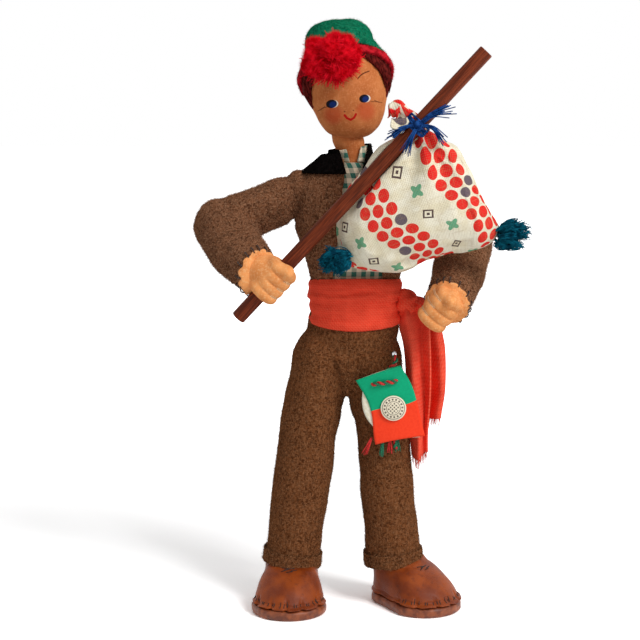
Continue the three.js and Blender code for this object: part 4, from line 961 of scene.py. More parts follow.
pompomCore = softCopy("pompomCore", ["pompom"], 0.8 * mm, rounds=6)
points = pointsOf(pompomCore)
puffs = np.array([ripple.voronoi(Vector(p) * cap["puff"] / mm)[0][0] for p in points])
swell(pompomCore, cap["puffSink"] + cap["puffHigh"] * (0.5 - puffs))
low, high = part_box("pompom")
middleX = (low.x + high.x) / 2
points = pointsOf(pompomCore)
points[:, 0] = middleX + (points[:, 0] - middleX) * cap["broad"]
setPoints(pompomCore, points + np.array(cap["nudge"]))
fluff = fuzzOn("pompomFluff", pompomCore, cap["fluff"])
dress(fluff, redWool, "red_wool", "head")
pompomMiddle, pompomEnds = ballEnds("pompom", cap["tufts"], cap["seed"], lambda way: way.y < 0.6)
nudge = Vector(cap["nudge"])
pompomYarn = tufted("pompomYarn", pompomMiddle + nudge, [end + nudge for end in pompomEnds],
                    cap["tuftFibres"], cap["fibre"], cap["ragged"], cap["droop"], cap["seed"])
dress(pompomCore, redWool, "red_wool", "head", ["pompom"])
dress(pompomYarn, redWool, "red_wool", "head")
print("head and cap are stuffed")


# Hands

tieSpot, staffWay = jointPlace["bundle_swing"], -jointAxis["bundle_swing"]
hands = {
    "voxel": 0.55 * mm, "rounds": 60, "plump": 0.4 * mm, "groove": 0.5 * mm, "grooveHalf": 0.45 * mm,
    "fingers": (-4.5 * mm, 0.0, 4.5 * mm), "thread": 0.19 * mm, "threadShifts": (-0.3 * mm, 0.35 * mm),
    "whip": 0.3 * mm, "whips": 15, "whipPath": ((-4.2, -0.3), (-2.6, 0.9), (-0.6, 0.75), (0.5, -0.2)),
    "hemFront": 2.2 * mm, "hemBack": 0.3 * mm, "hemThick": 0.5 * mm, "hemRows": 5, "hemTurns": 60,
    "scallop": 0.4 * mm, "scallops": 11, "cuffHalf": 10 * mm, "sleeveBack": -2, "handAhead": 3.6,
    "fist": {"right": tieSpot - staffWay * 95.6 * mm, "left": Vector((37.859, -15.529, 148.5)) * mm},
    "across": {"right": staffWay, "left": Vector((0.62, -0.2, 0.76)).normalized()},
}


def cuffEdge(side, wrist, along, spoke):
    return wrist + along * float(cuffReach(side, np.array(spoke) * hands["cuffHalf"]))


def skinRadius(tree, edge, along, spoke, ahead):
    # how far a skin lies from the arm's middle, so many millimetres ahead of the cuff's edge
    step = along * ahead * mm
    return (onSkin(tree, edge + step, spoke) - edge - step).length


for side in ("right", "left"):
    _, elbow, wrist = armWay[side]
    fist, across = hands["fist"][side], hands["across"][side]
    way = (fist - wrist).normalized()
    hand = softCopy(side + "Hand", [side + "_hand"], hands["voxel"], rounds=hands["rounds"])
    points = pointsOf(hand)
    offset = points - np.array(fist)
    beside, ahead = offset @ np.array(across), offset @ np.array(way)
    folds = sum(np.exp(-((beside - s) / hands["grooveHalf"]) ** 2) for s in hands["fingers"])
    swell(hand, hands["plump"] - hands["groove"] * folds * eased(ahead, -1.0 * mm, 3.0 * mm))
    tree = treeOf(hand)
    out = Vector((0, -1, 0))
    out = (out - across * out.dot(across)).normalized()
    on = (way - across * way.dot(across) - out * way.dot(out)).normalized()
    stitches = []
    for s in hands["fingers"]:
        for shift in hands["threadShifts"]:
            stitches.append([onSkin(tree, fist + across * (s + shift), spokeAt(out, on, t), 0.06 * mm)
                             for t in np.radians(np.linspace(28, 110, 9))])
    seam = threads(side + "FingerStitches", stitches, hands["thread"], roundness=1)
    dress(seam, paleThread, "skin_cotton", side + "_forearm")
    dress(hand, skinCotton, "skin_cotton", side + "_forearm", [side + "_hand"])

    along = (wrist - elbow).normalized()
    one = along.orthogonal().normalized()
    two = along.cross(one)
    rows, turns = hands["hemRows"], hands["hemTurns"]
    hemPoints = []
    for r in range(rows + 1):
        for i in range(turns):
            t = 2 * math.pi * i / turns
            spoke = spokeAt(one, two, t)
            back = hands["hemBack"] + hands["scallop"] * math.sin(hands["scallops"] * t)
            far = r / rows * (hands["hemFront"] + back) - back
            edge = cuffEdge(side, wrist, along, spoke)
            sleeveRim = skinRadius(sleeveTree[side], edge, along, spoke, hands["sleeveBack"])
            handRim = skinRadius(tree, edge, along, spoke, hands["handAhead"])
            share = float(eased(np.array(far), -0.6 * mm, hands["hemFront"]))
            radius = sleeveRim * (1 - share) + handRim * share + (0.3 - 1.3 * share) * mm
            hemPoints.append(edge + along * far + spoke * radius)
    hem = newPiece(side + "HandHem", hemPoints, ringFaces(rows, turns))
    facingOut(hem)
    finishWith(hem, "SOLIDIFY", thickness=hands["hemThick"], offset=0)
    finishWith(hem, "SUBSURF", levels=1, render_levels=1)
    smoothShade(hem)
    dress(hem, skinCotton, "skin_cotton", side + "_forearm")
    whips = []
    for i in range(hands["whips"]):
        t = 2 * math.pi * (i + 0.25 * math.sin(5 * i)) / hands["whips"]
        spoke = spokeAt(one, two, t)
        edge = cuffEdge(side, wrist, along, spoke)
        rim = skinRadius(sleeveTree[side], edge, along, spoke, hands["sleeveBack"])
        whips.append([edge + along * (far * mm) + spoke * (rim + lift * mm)
                      for far, lift in hands["whipPath"]])
    whip = threads(side + "CuffStitches", whips, hands["whip"], roundness=1)
    dress(whip, darkThread, "brown_felt", side + "_forearm")
print("hands are sewn on")


# Staff and bundle

stick = {
    "radius": 3.4 * mm, "low": -119.2 * mm, "high": 43.8 * mm, "sides": 28, "edge": 0.5 * mm,
    "flats": 5, "flat": 0.06 * mm, "wobble": 0.14 * mm,
}
staffLength = stick["high"] - stick["low"]
bpy.ops.object.select_all(action="DESELECT")
bpy.ops.mesh.primitive_cylinder_add(vertices=stick["sides"], radius=stick["radius"], depth=staffLength)
staff = bpy.context.object
staff.name = "staffDowel"
finishWith(staff, "BEVEL", width=stick["edge"], segments=2, limit_method="ANGLE", angle_limit=1.0)
upright = staffWay.to_track_quat("Z", "Y").to_matrix().to_4x4()
inEditMode(staff, (bpy.ops.mesh.subdivide, {"number_cuts": 2}))
points = pointsOf(staff)
turns = np.arctan2(points[:, 1], points[:, 0])
flat = stick["flat"] * np.cos(stick["flats"] * turns) + stick["wobble"] * rippleAt(points, 90, 2.0)
points[:, :2] *= (1 - np.abs(flat) / stick["radius"])[:, None]
setPoints(staff, points)
middle = tieSpot + staffWay * (stick["high"] + stick["low"]) / 2
staff.data.transform(Matrix.Translation(middle) @ upright)
onlySelect(staff)
bpy.ops.object.shade_smooth_by_angle(angle=math.radians(40))
wood = Finish("staffWood", Roughness=0.6, Specular_IOR_Level=0.12)
turned = wood.node("ShaderNodeMapping", {"vector_type": "TEXTURE"}, {
    "Vector": wood.place, "Location": tuple(tieSpot), "Rotation": tuple(upright.to_euler())})
grain = wood.noise(1500, 4, (1, 1, 0.06), turned)
streak = wood.noise(800, 3, (1, 1, 0.05), turned)
woodTone = wood.mix(grain.rise(0.36, 0.64), dye(84, 32, 14), dye(124, 54, 28))
wood.set("Base Color", wood.mix(streak.rise(0.55, 0.66) * 0.55, woodTone, dye(56, 23, 11)))
wood.relief(grain, 0.14 * mm, 0.5)
dress(staff, wood.material, "staff_wood", "staff_body", ["staff"])

bundle = {
    "voxel": 1.3 * mm, "pressure": 2.5, "slack": -0.06, "stiffness": 0.05, "quality": 6, "frames": 20,
    "cap": 2.2 * mm, "heldReach": 9 * mm, "heldFade": 6 * mm, "middle": -20.2 * mm, "tieBack": 7.08,
    "gatherReach": 50 * mm, "gatherDepth": 2.3 * mm, "gathers": 6, "crumple": 0.7 * mm,
    "dot": 2.7 * mm, "pitch": 6.4 * mm, "thread": 0.7 * mm, "bandTurn": 24,
    "motifStep": 11 * mm,
}
tieCentre = tieSpot + Vector((0, bundle["tieBack"], 0)) * mm


def printFinish():
    # a generic print: bands of red and grey dots, with green clovers and dark diamonds between them
    printed = Finish("printCotton", Roughness=0.92, Specular_IOR_Level=0.06)
    u, v, _ = printed.split(printed.uv())
    turn = math.radians(bundle["bandTurn"])
    s = u * math.cos(turn) + v * math.sin(turn)
    t = v * math.cos(turn) - u * math.sin(turn) + (s * 150).sine() * 1.6 * mm
    pitch, row = bundle["pitch"], bundle["pitch"] * 0.9
    line = (t / row).floor()
    shifted = s + (line % 2.0) * (pitch / 2)
    cell = (shifted / pitch).floor()
    ds, dt = shifted - (cell + 0.5) * pitch, t - (line + 0.5) * row
    away = (ds * ds + dt * dt).root()
    inBand = (line % 6.0) < 2.5
    dots = away.fall(bundle["dot"] - 0.1 * mm, bundle["dot"] + 0.1 * mm) * inBand
    odd = printed.node("ShaderNodeTexWhiteNoise", {"noise_dimensions": "2D"}, {
        "Vector": printed.node("ShaderNodeCombineXYZ", sockets={0: cell, 1: line})})
    tone = printed.mix(printed.noise(160, 3).rise(0.35, 0.65), dye(240, 230, 200), dye(250, 244, 222))
    dotTone = printed.mix(odd > 0.86, dye(236, 36, 38), dye(104, 92, 104))
    tone = printed.mix(dots, tone, dotTone)
    step, wide = bundle["motifStep"], row * 6  # clovers and diamonds take turns along each pale band
    place = s / step
    spot = place.floor()
    fs = (place - spot - 0.5) * step
    ft = (t % wide) - row * 4.5 + ((spot % 2.0) - 0.5) * 3.4 * mm
    far = (fs * fs + ft * ft).root()
    angle = fs.maths("ARCTAN2", ft, fs)
    clover = (far - (angle * 4.0).sine() * 0.75 * mm).fall(2.35 * mm, 2.55 * mm)
    corner = abs(fs) + abs(ft)
    diamond = (corner.fall(3.0 * mm, 3.2 * mm) * corner.rise(1.95 * mm, 2.15 * mm)).most(
        corner.fall(0.8 * mm, 1.0 * mm))
    even = (spot % 2.0) < 0.5
    tone = printed.mix(clover * even, tone, dye(104, 172, 134))
    tone = printed.mix(diamond * (1 - even), tone, dye(78, 62, 66))
    wander = printed.noise(240, 2, (1, 1, 1), printed.uv()) * 0.9 * mm
    warp = ((u + wander) * (2 * math.pi / bundle["thread"])).sine()
    weft = ((v + wander) * (2 * math.pi / bundle["thread"])).sine()
    slub = printed.noise(1300, 2, (0.1, 1, 1), printed.uv())
    slub = slub.most(printed.noise(1300, 2, (1, 0.1, 1), printed.uv()))
    gaps = warp.most(weft).fall(-0.5, 0.35) * 0.3 + slub.rise(0.54, 0.7) * 0.22
    printed.set("Base Color", printed.mix(gaps, tone, dye(176, 150, 108)))
    printed.relief(warp * 0.5 + weft * 0.5 + slub, 0.16 * mm, 0.6)
    return printed.material


def awayFromStaff(points, spare):
    # nothing of the bundle enters the staff
    axis = np.array(staffWay)
    offset = points - np.array(tieSpot)
    along = offset @ axis
    radial = offset - along[:, None] * axis
    reach = np.linalg.norm(radial, axis=1)
    need = stick["radius"] + spare
    inside = (reach < need) & (along > stick["low"] - spare) & (along < stick["high"] + spare)
    points[inside] += radial[inside] / reach[inside, None] * (need - reach[inside])[:, None]
    return points


def flatUnwrap(piece, middle):
    # two islands, front and back, scaled so that the UV is in metres
    mesh = bmesh.new()
    mesh.from_mesh(piece.data)
    for edge in mesh.edges:
        if len(edge.link_faces) == 2:
            first, second = [f.calc_center_median().y < middle for f in edge.link_faces]
            edge.seam = first != second
    mesh.to_mesh(piece.data)
    mesh.free()
    inEditMode(piece, (bpy.ops.uv.unwrap, {"method": "ANGLE_BASED", "margin": 0.01}))
    layer = piece.data.uv_layers.active.data
    uv = np.zeros(len(layer) * 2)
    layer.foreach_get("uv", uv)
    uv = uv.reshape(-1, 2)
    solid = flatArea = 0
    for f in piece.data.polygons:
        loop = uv[list(f.loop_indices)]
        nextOne = np.roll(loop, -1, axis=0)
        flatArea += abs((loop[:, 0] * nextOne[:, 1] - loop[:, 1] * nextOne[:, 0]).sum()) / 2
        solid += f.area
    layer.foreach_set("uv", (uv * math.sqrt(solid / flatArea)).ravel())


def blowUp(piece, pinned):
    # the cloth, a little too large for its shape, settles round its filling
    before = pointsOf(piece)
    held = piece.vertex_groups.new(name="held")
    for i, weight in enumerate(pinned(before)):
        if weight > 0:
            held.add([i], float(weight), "REPLACE")
    cloth = piece.modifiers.new("cloth", "CLOTH")
    cloth.settings.quality = bundle["quality"]
    cloth.settings.use_pressure = True
    cloth.settings.uniform_pressure_force = bundle["pressure"]
    cloth.settings.shrink_min = bundle["slack"]
    cloth.settings.bending_stiffness = bundle["stiffness"]
    cloth.settings.vertex_group_mass = "held"
    cloth.settings.effector_weights.gravity = 0
    cloth.point_cache.frame_end = bundle["frames"]
    for step in range(bundle["frames"]):
        scene.frame_set(step + 1)
    onlySelect(piece)
    bpy.ops.object.modifier_apply(modifier=cloth.name)
    piece.vertex_groups.clear()
    scene.frame_set(1)
    moved = pointsOf(piece) - before
    reach = np.linalg.norm(moved, axis=1)
    share = np.minimum(1, bundle["cap"] / np.maximum(reach, 1e-9))
    setPoints(piece, before + moved * share[:, None])


def heldAtTie(points):
    far = np.linalg.norm(points - np.array(tieCentre), axis=1)
    return np.clip(1 - (far - bundle["heldReach"]) / bundle["heldFade"], 0, 1)


bag = softCopy("bagCloth", ["bundle_bag"], bundle["voxel"], rounds=6)
blowUp(bag, heldAtTie)
finishWith(bag, "SUBSURF", levels=1, render_levels=1)
points, normals = pointsOf(bag), normalsOf(bag)
offset = points - np.array(tieCentre)
far = np.hypot(offset[:, 0], offset[:, 2])
angle = np.arctan2(offset[:, 0], -offset[:, 2])
# gathers run out from the tie and fade, and shallow dents lie all over the cloth
fade = np.clip(1 - far / bundle["gatherReach"], 0, 1) ** 1.1 * np.clip(far / (8 * mm), 0, 1)
crease = np.cos(bundle["gathers"] * (angle + 0.45 * rippleAt(points, 45, 9.0)) * 1.6)
crease = crease + 0.5 * rippleAt(points, 70, 3.0) * eased(far, 10 * mm, 30 * mm)
crumple = bundle["crumple"] * (rippleAt(points, 38, 5.0) - 0.7 * np.abs(rippleAt(points, 60, 1.5)))
setPoints(bag, points + normals * (crease * fade * bundle["gatherDepth"] + crumple)[:, None])
setPoints(bag, awayFromStaff(pointsOf(bag), 0.35 * mm))
flatUnwrap(bag, bundle["middle"])
smoothShade(bag)
printCotton = printFinish()
dress(bag, printCotton, "print_cotton", "bundle", ["bundle_bag"])

ruffle = {
    "out": (-0.97, 0.08, -0.2), "low": -2.0 * mm, "high": 10.6 * mm, "folds": 7, "base": 3.8 * mm,
    "open": 7.4 * mm, "deep": 0.5, "thick": 0.55 * mm, "turns": 120, "rows": 20, "crumple": 4.2 * mm,
    "seed": 7, "staffGap": 0.9 * mm, "uvRadius": 7 * mm, "uvStretch": 1.3, "uvShift": 13 * mm,
}
ruffleOut = Vector(ruffle["out"]).normalized()
one = ruffleOut.cross(Vector((0, 1, 0))).normalized()
two = ruffleOut.cross(one)
turns = ruffle["turns"]
rufflePoints, ruffleUv = [], []
ripple.seed_set(ruffle["seed"])
for r in range(ruffle["rows"] + 1):
    share = r / ruffle["rows"]
    for i in range(turns):
        t = 2 * math.pi * i / turns
        spoke = spokeAt(one, two, t)
        lump = ripple.noise(spoke * 1.7 + Vector((4, 0, 0)))
        high = ruffle["high"] * (0.86 + 0.3 * lump)
        radius = ruffle["base"] + (ruffle["open"] - ruffle["base"]) * math.sin(share * 2.2)
        fold = math.cos(ruffle["folds"] * t + 1.4 * math.sin(2 * t) + 1.2 * share)
        bulge = ripple.noise(spoke * 2.1 + Vector((share * 3, 0, 2)))
        radius *= 1 + ruffle["deep"] * share ** 0.7 * fold + share * (0.25 * lump + 0.4 * bulge)
        wilt = spoke * 1.4 * mm * share * share
        crumpled = Vector(ripple.noise_vector(spoke * 2.8 + Vector((0, share * 3.4, 7))))
        wilt += crumpled * ruffle["crumple"] * share
        up = ruffle["low"] + (high - ruffle["low"]) * share
        rufflePoints.append(tieCentre + ruffleOut * up + spoke * radius + wilt)
        upCloth = share * ruffle["high"] * ruffle["uvStretch"] + ruffle["uvShift"]
        ruffleUv.append((t * ruffle["uvRadius"], upCloth))
rufflePoints = awayFromStaff(np.array([tuple(p) for p in rufflePoints]), ruffle["staffGap"])
frill = newPiece("ruffleCloth", rufflePoints, ringFaces(ruffle["rows"], turns))
layer = frill.data.uv_layers.new(name="weave").data
for f in frill.data.polygons:
    for loop, i in zip(f.loop_indices, f.vertices):
        closes = i % turns == 0 and f.vertices[0] % turns == turns - 1
        wide = ruffle["uvRadius"] * 2 * math.pi if closes else 0
        layer[loop].uv = (ruffleUv[i][0] + wide, ruffleUv[i][1])
facingOut(frill)
finishWith(frill, "SOLIDIFY", thickness=ruffle["thick"], offset=0)
finishWith(frill, "SUBSURF", levels=1, render_levels=1)
smoothShade(frill)
dress(frill, printCotton, "print_cotton", "bundle", ["bundle_ruffle"])

tie = {
    "strand": 0.5 * mm, "plies": 15, "fine": 0.28 * mm, "spread": 0.8 * mm, "seed": 21,
    "wraps": 6, "wrapStep": 0.78, "knotFront": -11.58, "lashFront": -3.54, "loops": 9, "loopRadius": 2.1,
    "ends": (((6, -2, 5), (14.5, 0.5, 8)), ((6, -2.5, -1), (11, -1, -7)),
             ((-3, -3, -5), (-6, -1.5, -12.5)), ((-6, -2, -1), (-12.5, -1, -5))),
}
knotSpot = tieCentre + Vector((0, tie["knotFront"], 0)) * mm
rng = random.Random(tie["seed"])
tiePaths, finePaths = [], []
side = staffWay.cross(Vector((0, 1, 0))).normalized()
out = side.cross(staffWay).normalized()
lashMiddle = tieCentre + Vector((0, tie["lashFront"], 0)) * mm
for wrap in range(tie["wraps"]):
    along = staffWay * ((wrap - (tie["wraps"] - 1) / 2) * tie["wrapStep"] * mm)
    halfAcross = 5.3 * mm + rng.uniform(-0.1, 0.2) * mm
    halfOut = 8.6 * mm + rng.uniform(-0.2, 0.2) * mm
    lean = staffWay * rng.uniform(-0.7, 0.7) * mm
    tiePaths.append([lashMiddle + along + lean * math.sin(t) + side * halfAcross * math.cos(t)
                     + out * halfOut * math.sin(t) for t in np.linspace(0, 2 * math.pi, 29)])
for loop in range(tie["loops"]):
    tilt = astray(rng).normalized()
    one = tilt.orthogonal().normalized()
    two = tilt.cross(one)
    tiePaths.append([knotSpot + spokeAt(one, two, t) * tie["loopRadius"] * mm
                     for t in np.linspace(0, 2 * math.pi, 15)])
for middle, end in tie["ends"]:
    for ply in range(tie["plies"]):
        stray = astray(rng) * tie["spread"]
        halfway = knotSpot + Vector(middle) * mm + stray * 0.6
        tip = knotSpot + Vector(end) * mm * rng.uniform(0.82, 1.03) + stray * 1.7
        finePaths.append(smoothPath([knotSpot + stray * 0.4, halfway, tip], 8))
tieYarn = threads("tieYarn", tiePaths, tie["strand"], roundness=1)
dress(tieYarn, blueYarn, "blue_yarn", "bundle", ["bundle_tie"])
dress(threads("tieEnds", finePaths, tie["fine"], tip=0.8), blueYarn, "blue_yarn", "bundle")

tassel = {
    "tufts": 46, "fibres": 16, "fibre": 0.24 * mm, "spread": 0.8 * mm, "droop": 0.6 * mm, "fibreSeed": 33,
    "left": {"root": (-4.6, -21.5, 172.6), "way": (-0.8, -0.25, -0.35), "seed": 31},
    "right": {"root": (63.2, -20.2, 182.6), "way": (0.9, -0.1, 0.05), "seed": 32},
}
for side in ("left", "right"):
    own = tassel[side]
    root, way = Vector(own["root"]) * mm, Vector(own["way"]).normalized()
    _, ends = ballEnds("bundle_tassel_" + side, tassel["tufts"], own["seed"], lambda w: w.dot(way) > -0.35)
    yarn = tufted(side + "TasselYarn", root, ends, tassel["fibres"], tassel["fibre"],
                  tassel["spread"], tassel["droop"], tassel["fibreSeed"])
    dress(yarn, tealWool, "teal_wool", "bundle", ["bundle_tassel_" + side])
print("bundle is tied on its staff")


# Sash: a wrapped band, its knot and two frayed tails

sash = {
    "folds": ((0.2, 0.5), (0.47, 0.9), (0.7, 0.55)), "foldHalf": 0.05, "gatherAt": 0.4, "dip": 2.4 * mm,
    "thick": 0.8 * mm, "fray": 40, "frayLength": 4.5 * mm, "frayThread": 0.18 * mm, "frayStray": 0.14,
}
sashKnot = jointPlace["sash_tail_swing"]


def ringUv(piece, middle, radius):
    # the band's own UV in metres: round the waist and up it
    layer = (piece.data.uv_layers.active or piece.data.uv_layers.new(name="weave")).data
    points = pointsOf(piece)
    for f in piece.data.polygons:
        turns = [math.atan2(points[i][1] - middle.y, points[i][0] - middle.x) for i in f.vertices]
        for loop, i, turn in zip(f.loop_indices, f.vertices, turns):
            while turn - turns[0] > math.pi:
                turn -= 2 * math.pi
            while turn - turns[0] < -math.pi:
                turn += 2 * math.pi
            layer[loop].uv = (turn * radius, points[i][2])


sashBand = softCopy("sashBand", ["waist_sash"], 0.5 * mm, rounds=5)
low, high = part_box("waist_sash")
sashMiddle = (low + high) / 2
points, normals = pointsOf(sashBand), normalsOf(sashBand)
turn = np.arctan2(points[:, 1] - sashMiddle.y, points[:, 0] - sashMiddle.x)
outward = np.clip(normals[:, 0] * np.cos(turn) + normals[:, 1] * np.sin(turn), 0, 1)
height = (points[:, 2] - low.z) / (high.z - low.z)
fromKnot = np.clip(np.abs(turn) / 1.1, 0, 1)
relief = 0.5 * np.cos(2 * math.pi * (1.3 * height + 0.15 * np.sin(2 * turn + 1.0)))
for k, (at, deep) in enumerate(sash["folds"]):
    line = sash["gatherAt"] + (at - sash["gatherAt"]) * (0.3 + 0.7 * fromKnot)
    line = line + 0.03 * np.sin(2 * turn + 2 * k) + 0.02 * np.sin(5 * turn + k)
    fading = 0.15 + 0.9 * np.clip(np.sin(1.7 * turn + 2.3 * k), 0, 1) + 1.1 * (1 - fromKnot)
    relief = relief - 1.6 * deep * fading * np.exp(-((height - line) / sash["foldHalf"]) ** 2)
    relief = relief + 0.8 * deep * fading * np.exp(-((height - line - 0.07) / 0.05) ** 2)
points = points + normals * (np.maximum(relief, -0.75) * outward * 0.95 * mm)[:, None]
frontness = np.clip(-np.sin(turn), 0, 1) ** 1.5
lift = (height > 0.5) * 1.4 * mm * eased(height, 0.5, 1)
points[:, 2] += frontness * (lift - sash["dip"] * (1 - eased(height, 0, 0.5)))
setPoints(sashBand, points)
ringUv(sashBand, sashMiddle, 20 * mm)
dress(sashBand, redCotton, "red_cotton", "torso", ["waist_sash"])

knot = softCopy("sashTie", ["sash_knot"], 0.45 * mm, rounds=6)
points = pointsOf(knot)
twist = np.arctan2(points[:, 2] - sashKnot.z, points[:, 1] - sashKnot.y)
wraps = 0.6 * mm * np.cos(6 * twist + 900 * (points[:, 0] - sashKnot.x))
swell(knot, 1.5 * mm + wraps + 0.4 * mm * rippleAt(points, 300, 1.0))
ringUv(knot, sashKnot, 6 * mm)
dress(knot, redCotton, "red_cotton", "torso", ["sash_knot"])


def tailPiece(name, node, spine, widths, folds, depth, phase, seed, columns=30, rows=80):
    # a strip of cloth, gathered in the knot and hanging in broad folds, with a frayed end
    rng = random.Random(seed)
    line = smoothPath([sashKnot + Vector(p) * mm for p in spine], rows)
    length = lengthOf(line)

    def at(u, r):
        v = r / rows
        ahead = (line[min(r + 1, rows)] - line[max(r - 1, 0)]).normalized()
        across = ahead.cross(Vector((0, 1, 0))).normalized()
        wide = float(np.interp(v, np.linspace(0, 1, len(widths)), widths)) * mm
        swing = math.cos(2 * math.pi * folds * (u + 0.07 * math.sin(4 * v)) + phase)
        fold = depth * min(1, 0.35 + 3 * v) * swing
        small = 0.3 * mm * math.cos(5.3 * math.pi * u + 5 * v + seed)
        sag = 1.6 * mm * v ** 4 * math.sin(math.pi * u + 0.6)
        beside = (u - 0.5) * wide + 0.35 * mm * math.sin(14 * v + 5 * u)
        return line[r] + across * beside + Vector((0, fold + small, -sag))

    points = [at(c / columns, r) for r in range(rows + 1) for c in range(columns + 1)]
    tail = newPiece(name, points, stripFaces(rows, columns))
    cutWidth = sum(f.area for f in tail.data.polygons) / length
    layer = tail.data.uv_layers.new(name="weave").data
    for loop in tail.data.loops:
        r, c = divmod(loop.vertex_index, columns + 1)
        layer[loop.index].uv = (c / columns * cutWidth, r / rows * length)
    finishWith(tail, "SOLIDIFY", thickness=sash["thick"], offset=0)
    finishWith(tail, "BEVEL", width=0.2 * mm, segments=1, limit_method="ANGLE", angle_limit=1.0)
    smoothShade(tail)
    paths = []
    for i in range(sash["fray"]):
        u = (i + rng.uniform(0.1, 0.9)) / sash["fray"]
        start, before = at(u, rows), at(u, rows - 3)
        way = (start - before).normalized() + astray(rng, sash["frayStray"])
        reach = sash["frayLength"] * rng.uniform(0.3, 1)
        paths.append([start + way * reach * t + Vector((0, 0, -0.6 * mm * t * t))
                      for t in (-0.3, 0.2, 0.6, 1)])
    fray = threads(name + "Fray", paths, sash["frayThread"], tip=0.6)
    # the tail and its fray take the lighter copy of the sash cotton, with its painted light
    dress(fray, tailCotton, "red_cotton", "sash_tails")
    dress(tail, tailCotton, "red_cotton", "sash_tails", [node])
    print(name, "is", round(cutWidth / mm, 1), "by", round(length / mm, 1), "mm")


tails = {
    "frontTail": {
        "node": "sash_tail_front", "widths": (6, 12, 14, 11.5, 9.5, 7.5),
        "spine": ((0.5, -3, 0), (4.2, -3.6, -6), (6.2, -3.7, -19), (7.4, -3.7, -50), (8.0, -3.6, -73)),
        "folds": 1.2, "depth": 3.6 * mm, "phase": 0.4, "seed": 41},
    "rearTail": {
        "node": "sash_tail_rear", "widths": (5, 8, 13, 15, 14, 12),
        "spine": ((0.5, 3, -1.5), (5, 4, -1.5), (10, 5, -7),
                  (12.2, 5.6, -22), (13.4, 6, -44), (12.4, 6, -57)),
        "folds": 1.3, "depth": 3.2 * mm, "phase": 2.2, "seed": 42},
}
for name, tail in tails.items():
    tailPiece(name, **tail)
print("sash is knotted")


# Shoes: glossy leather gathered onto a welted sole

shoe = {
    "place": {"right": (-31.12, 18.471, -4), "left": (21.38, 18.471, 46)},
    "heel": 12.5, "toe": 18, "ahead": 15.5, "low": 4.8, "high": 20.6, "ankle": 12.9, "neck": 11.8, "top": 23,
    "inset": 0.8, "lip": 1.5, "notches": 24, "notch": 1.3, "notchTop": 5.5, "stitch": 0.22 * mm,
    "points": 192, "rings": 34, "cone": 0.5, "rim": 0.8, "seam": 0.55,
    "laces": ((-3.6, -14.2, 0.6, -15.0), (-2.4, -15.6, 2.6, -14.6), (-3.8, -16.6, -0.4, -15.4),
              (0.8, -16.4, 3.8, -15.6), (-1.2, -17.2, 1.8, -16.8)),
}
leather = Finish("shoeLeather", Roughness=0.3, Specular_IOR_Level=0.22)
hide = leather.node("ShaderNodeTexVoronoi", {"feature": "DISTANCE_TO_EDGE"}, {
    "Scale": 1500.0, "Vector": leather.place})
patch = leather.noise(110, 4)
hideTone = leather.mix(patch.rise(0.3, 0.68), dye(118, 46, 8), dye(156, 70, 18))
scuffs = leather.noise(420, 3).rise(0.56, 0.7) * 0.4
leather.set("Base Color", leather.mix(scuffs, hideTone, dye(90, 38, 15)))
leather.set("Roughness", 0.3 + patch * 0.22)
leather.relief(hide.least(0.12) * 4 + patch, 0.18 * mm, 0.5)
soleHide = plainFinish("soleLeather", (100, 44, 20), (156, 82, 44), 260, 0.5, 0.2 * mm)


def shoePlace(side):
    x, y, turn = shoe["place"][side]
    return Matrix.Translation((x * mm, y * mm, 0)) @ Matrix.Rotation(math.radians(turn), 4, "Z")


def soleOutline(inset, count):
    # heel arc, toe arc and the sides between them, in even steps
    heel, toe = shoe["heel"] - inset, shoe["toe"] - inset
    corner = [(heel * math.cos(t), 1.5 + heel * math.sin(t)) for t in np.linspace(0, math.pi, 40)]
    corner += [(toe * math.cos(t), -shoe["ahead"] + toe * math.sin(t))
               for t in np.linspace(math.pi, 2 * math.pi, 60)]
    ring = np.array(corner + corner[:1])
    steps = np.r_[0, np.cumsum(np.hypot(*np.diff(ring, axis=0).T))]
    marks = np.linspace(0, steps[-1], count, endpoint=False)
    even = np.c_[np.interp(marks, steps, ring[:, 0]), np.interp(marks, steps, ring[:, 1])]
    for _ in range(6):
        even = (np.roll(even, 1, 0) + 2 * even + np.roll(even, -1, 0)) / 4
    return even


def loftClosed(name, rings):
    # a skin through rings of points, closed by a fan at each end
    count = len(rings[0])
    points = [p for ring in rings for p in ring]
    faces = ringFaces(len(rings) - 1, count)
    for first, ring in ((0, rings[0]), ((len(rings) - 1) * count, rings[-1])):
        points.append(np.mean(ring, axis=0))
        faces += [(first + (i + 1) % count, first + i, len(points) - 1) for i in range(count)]
    piece = newPiece(name, points, faces)
    facingOut(piece)
    return smoothShade(piece)


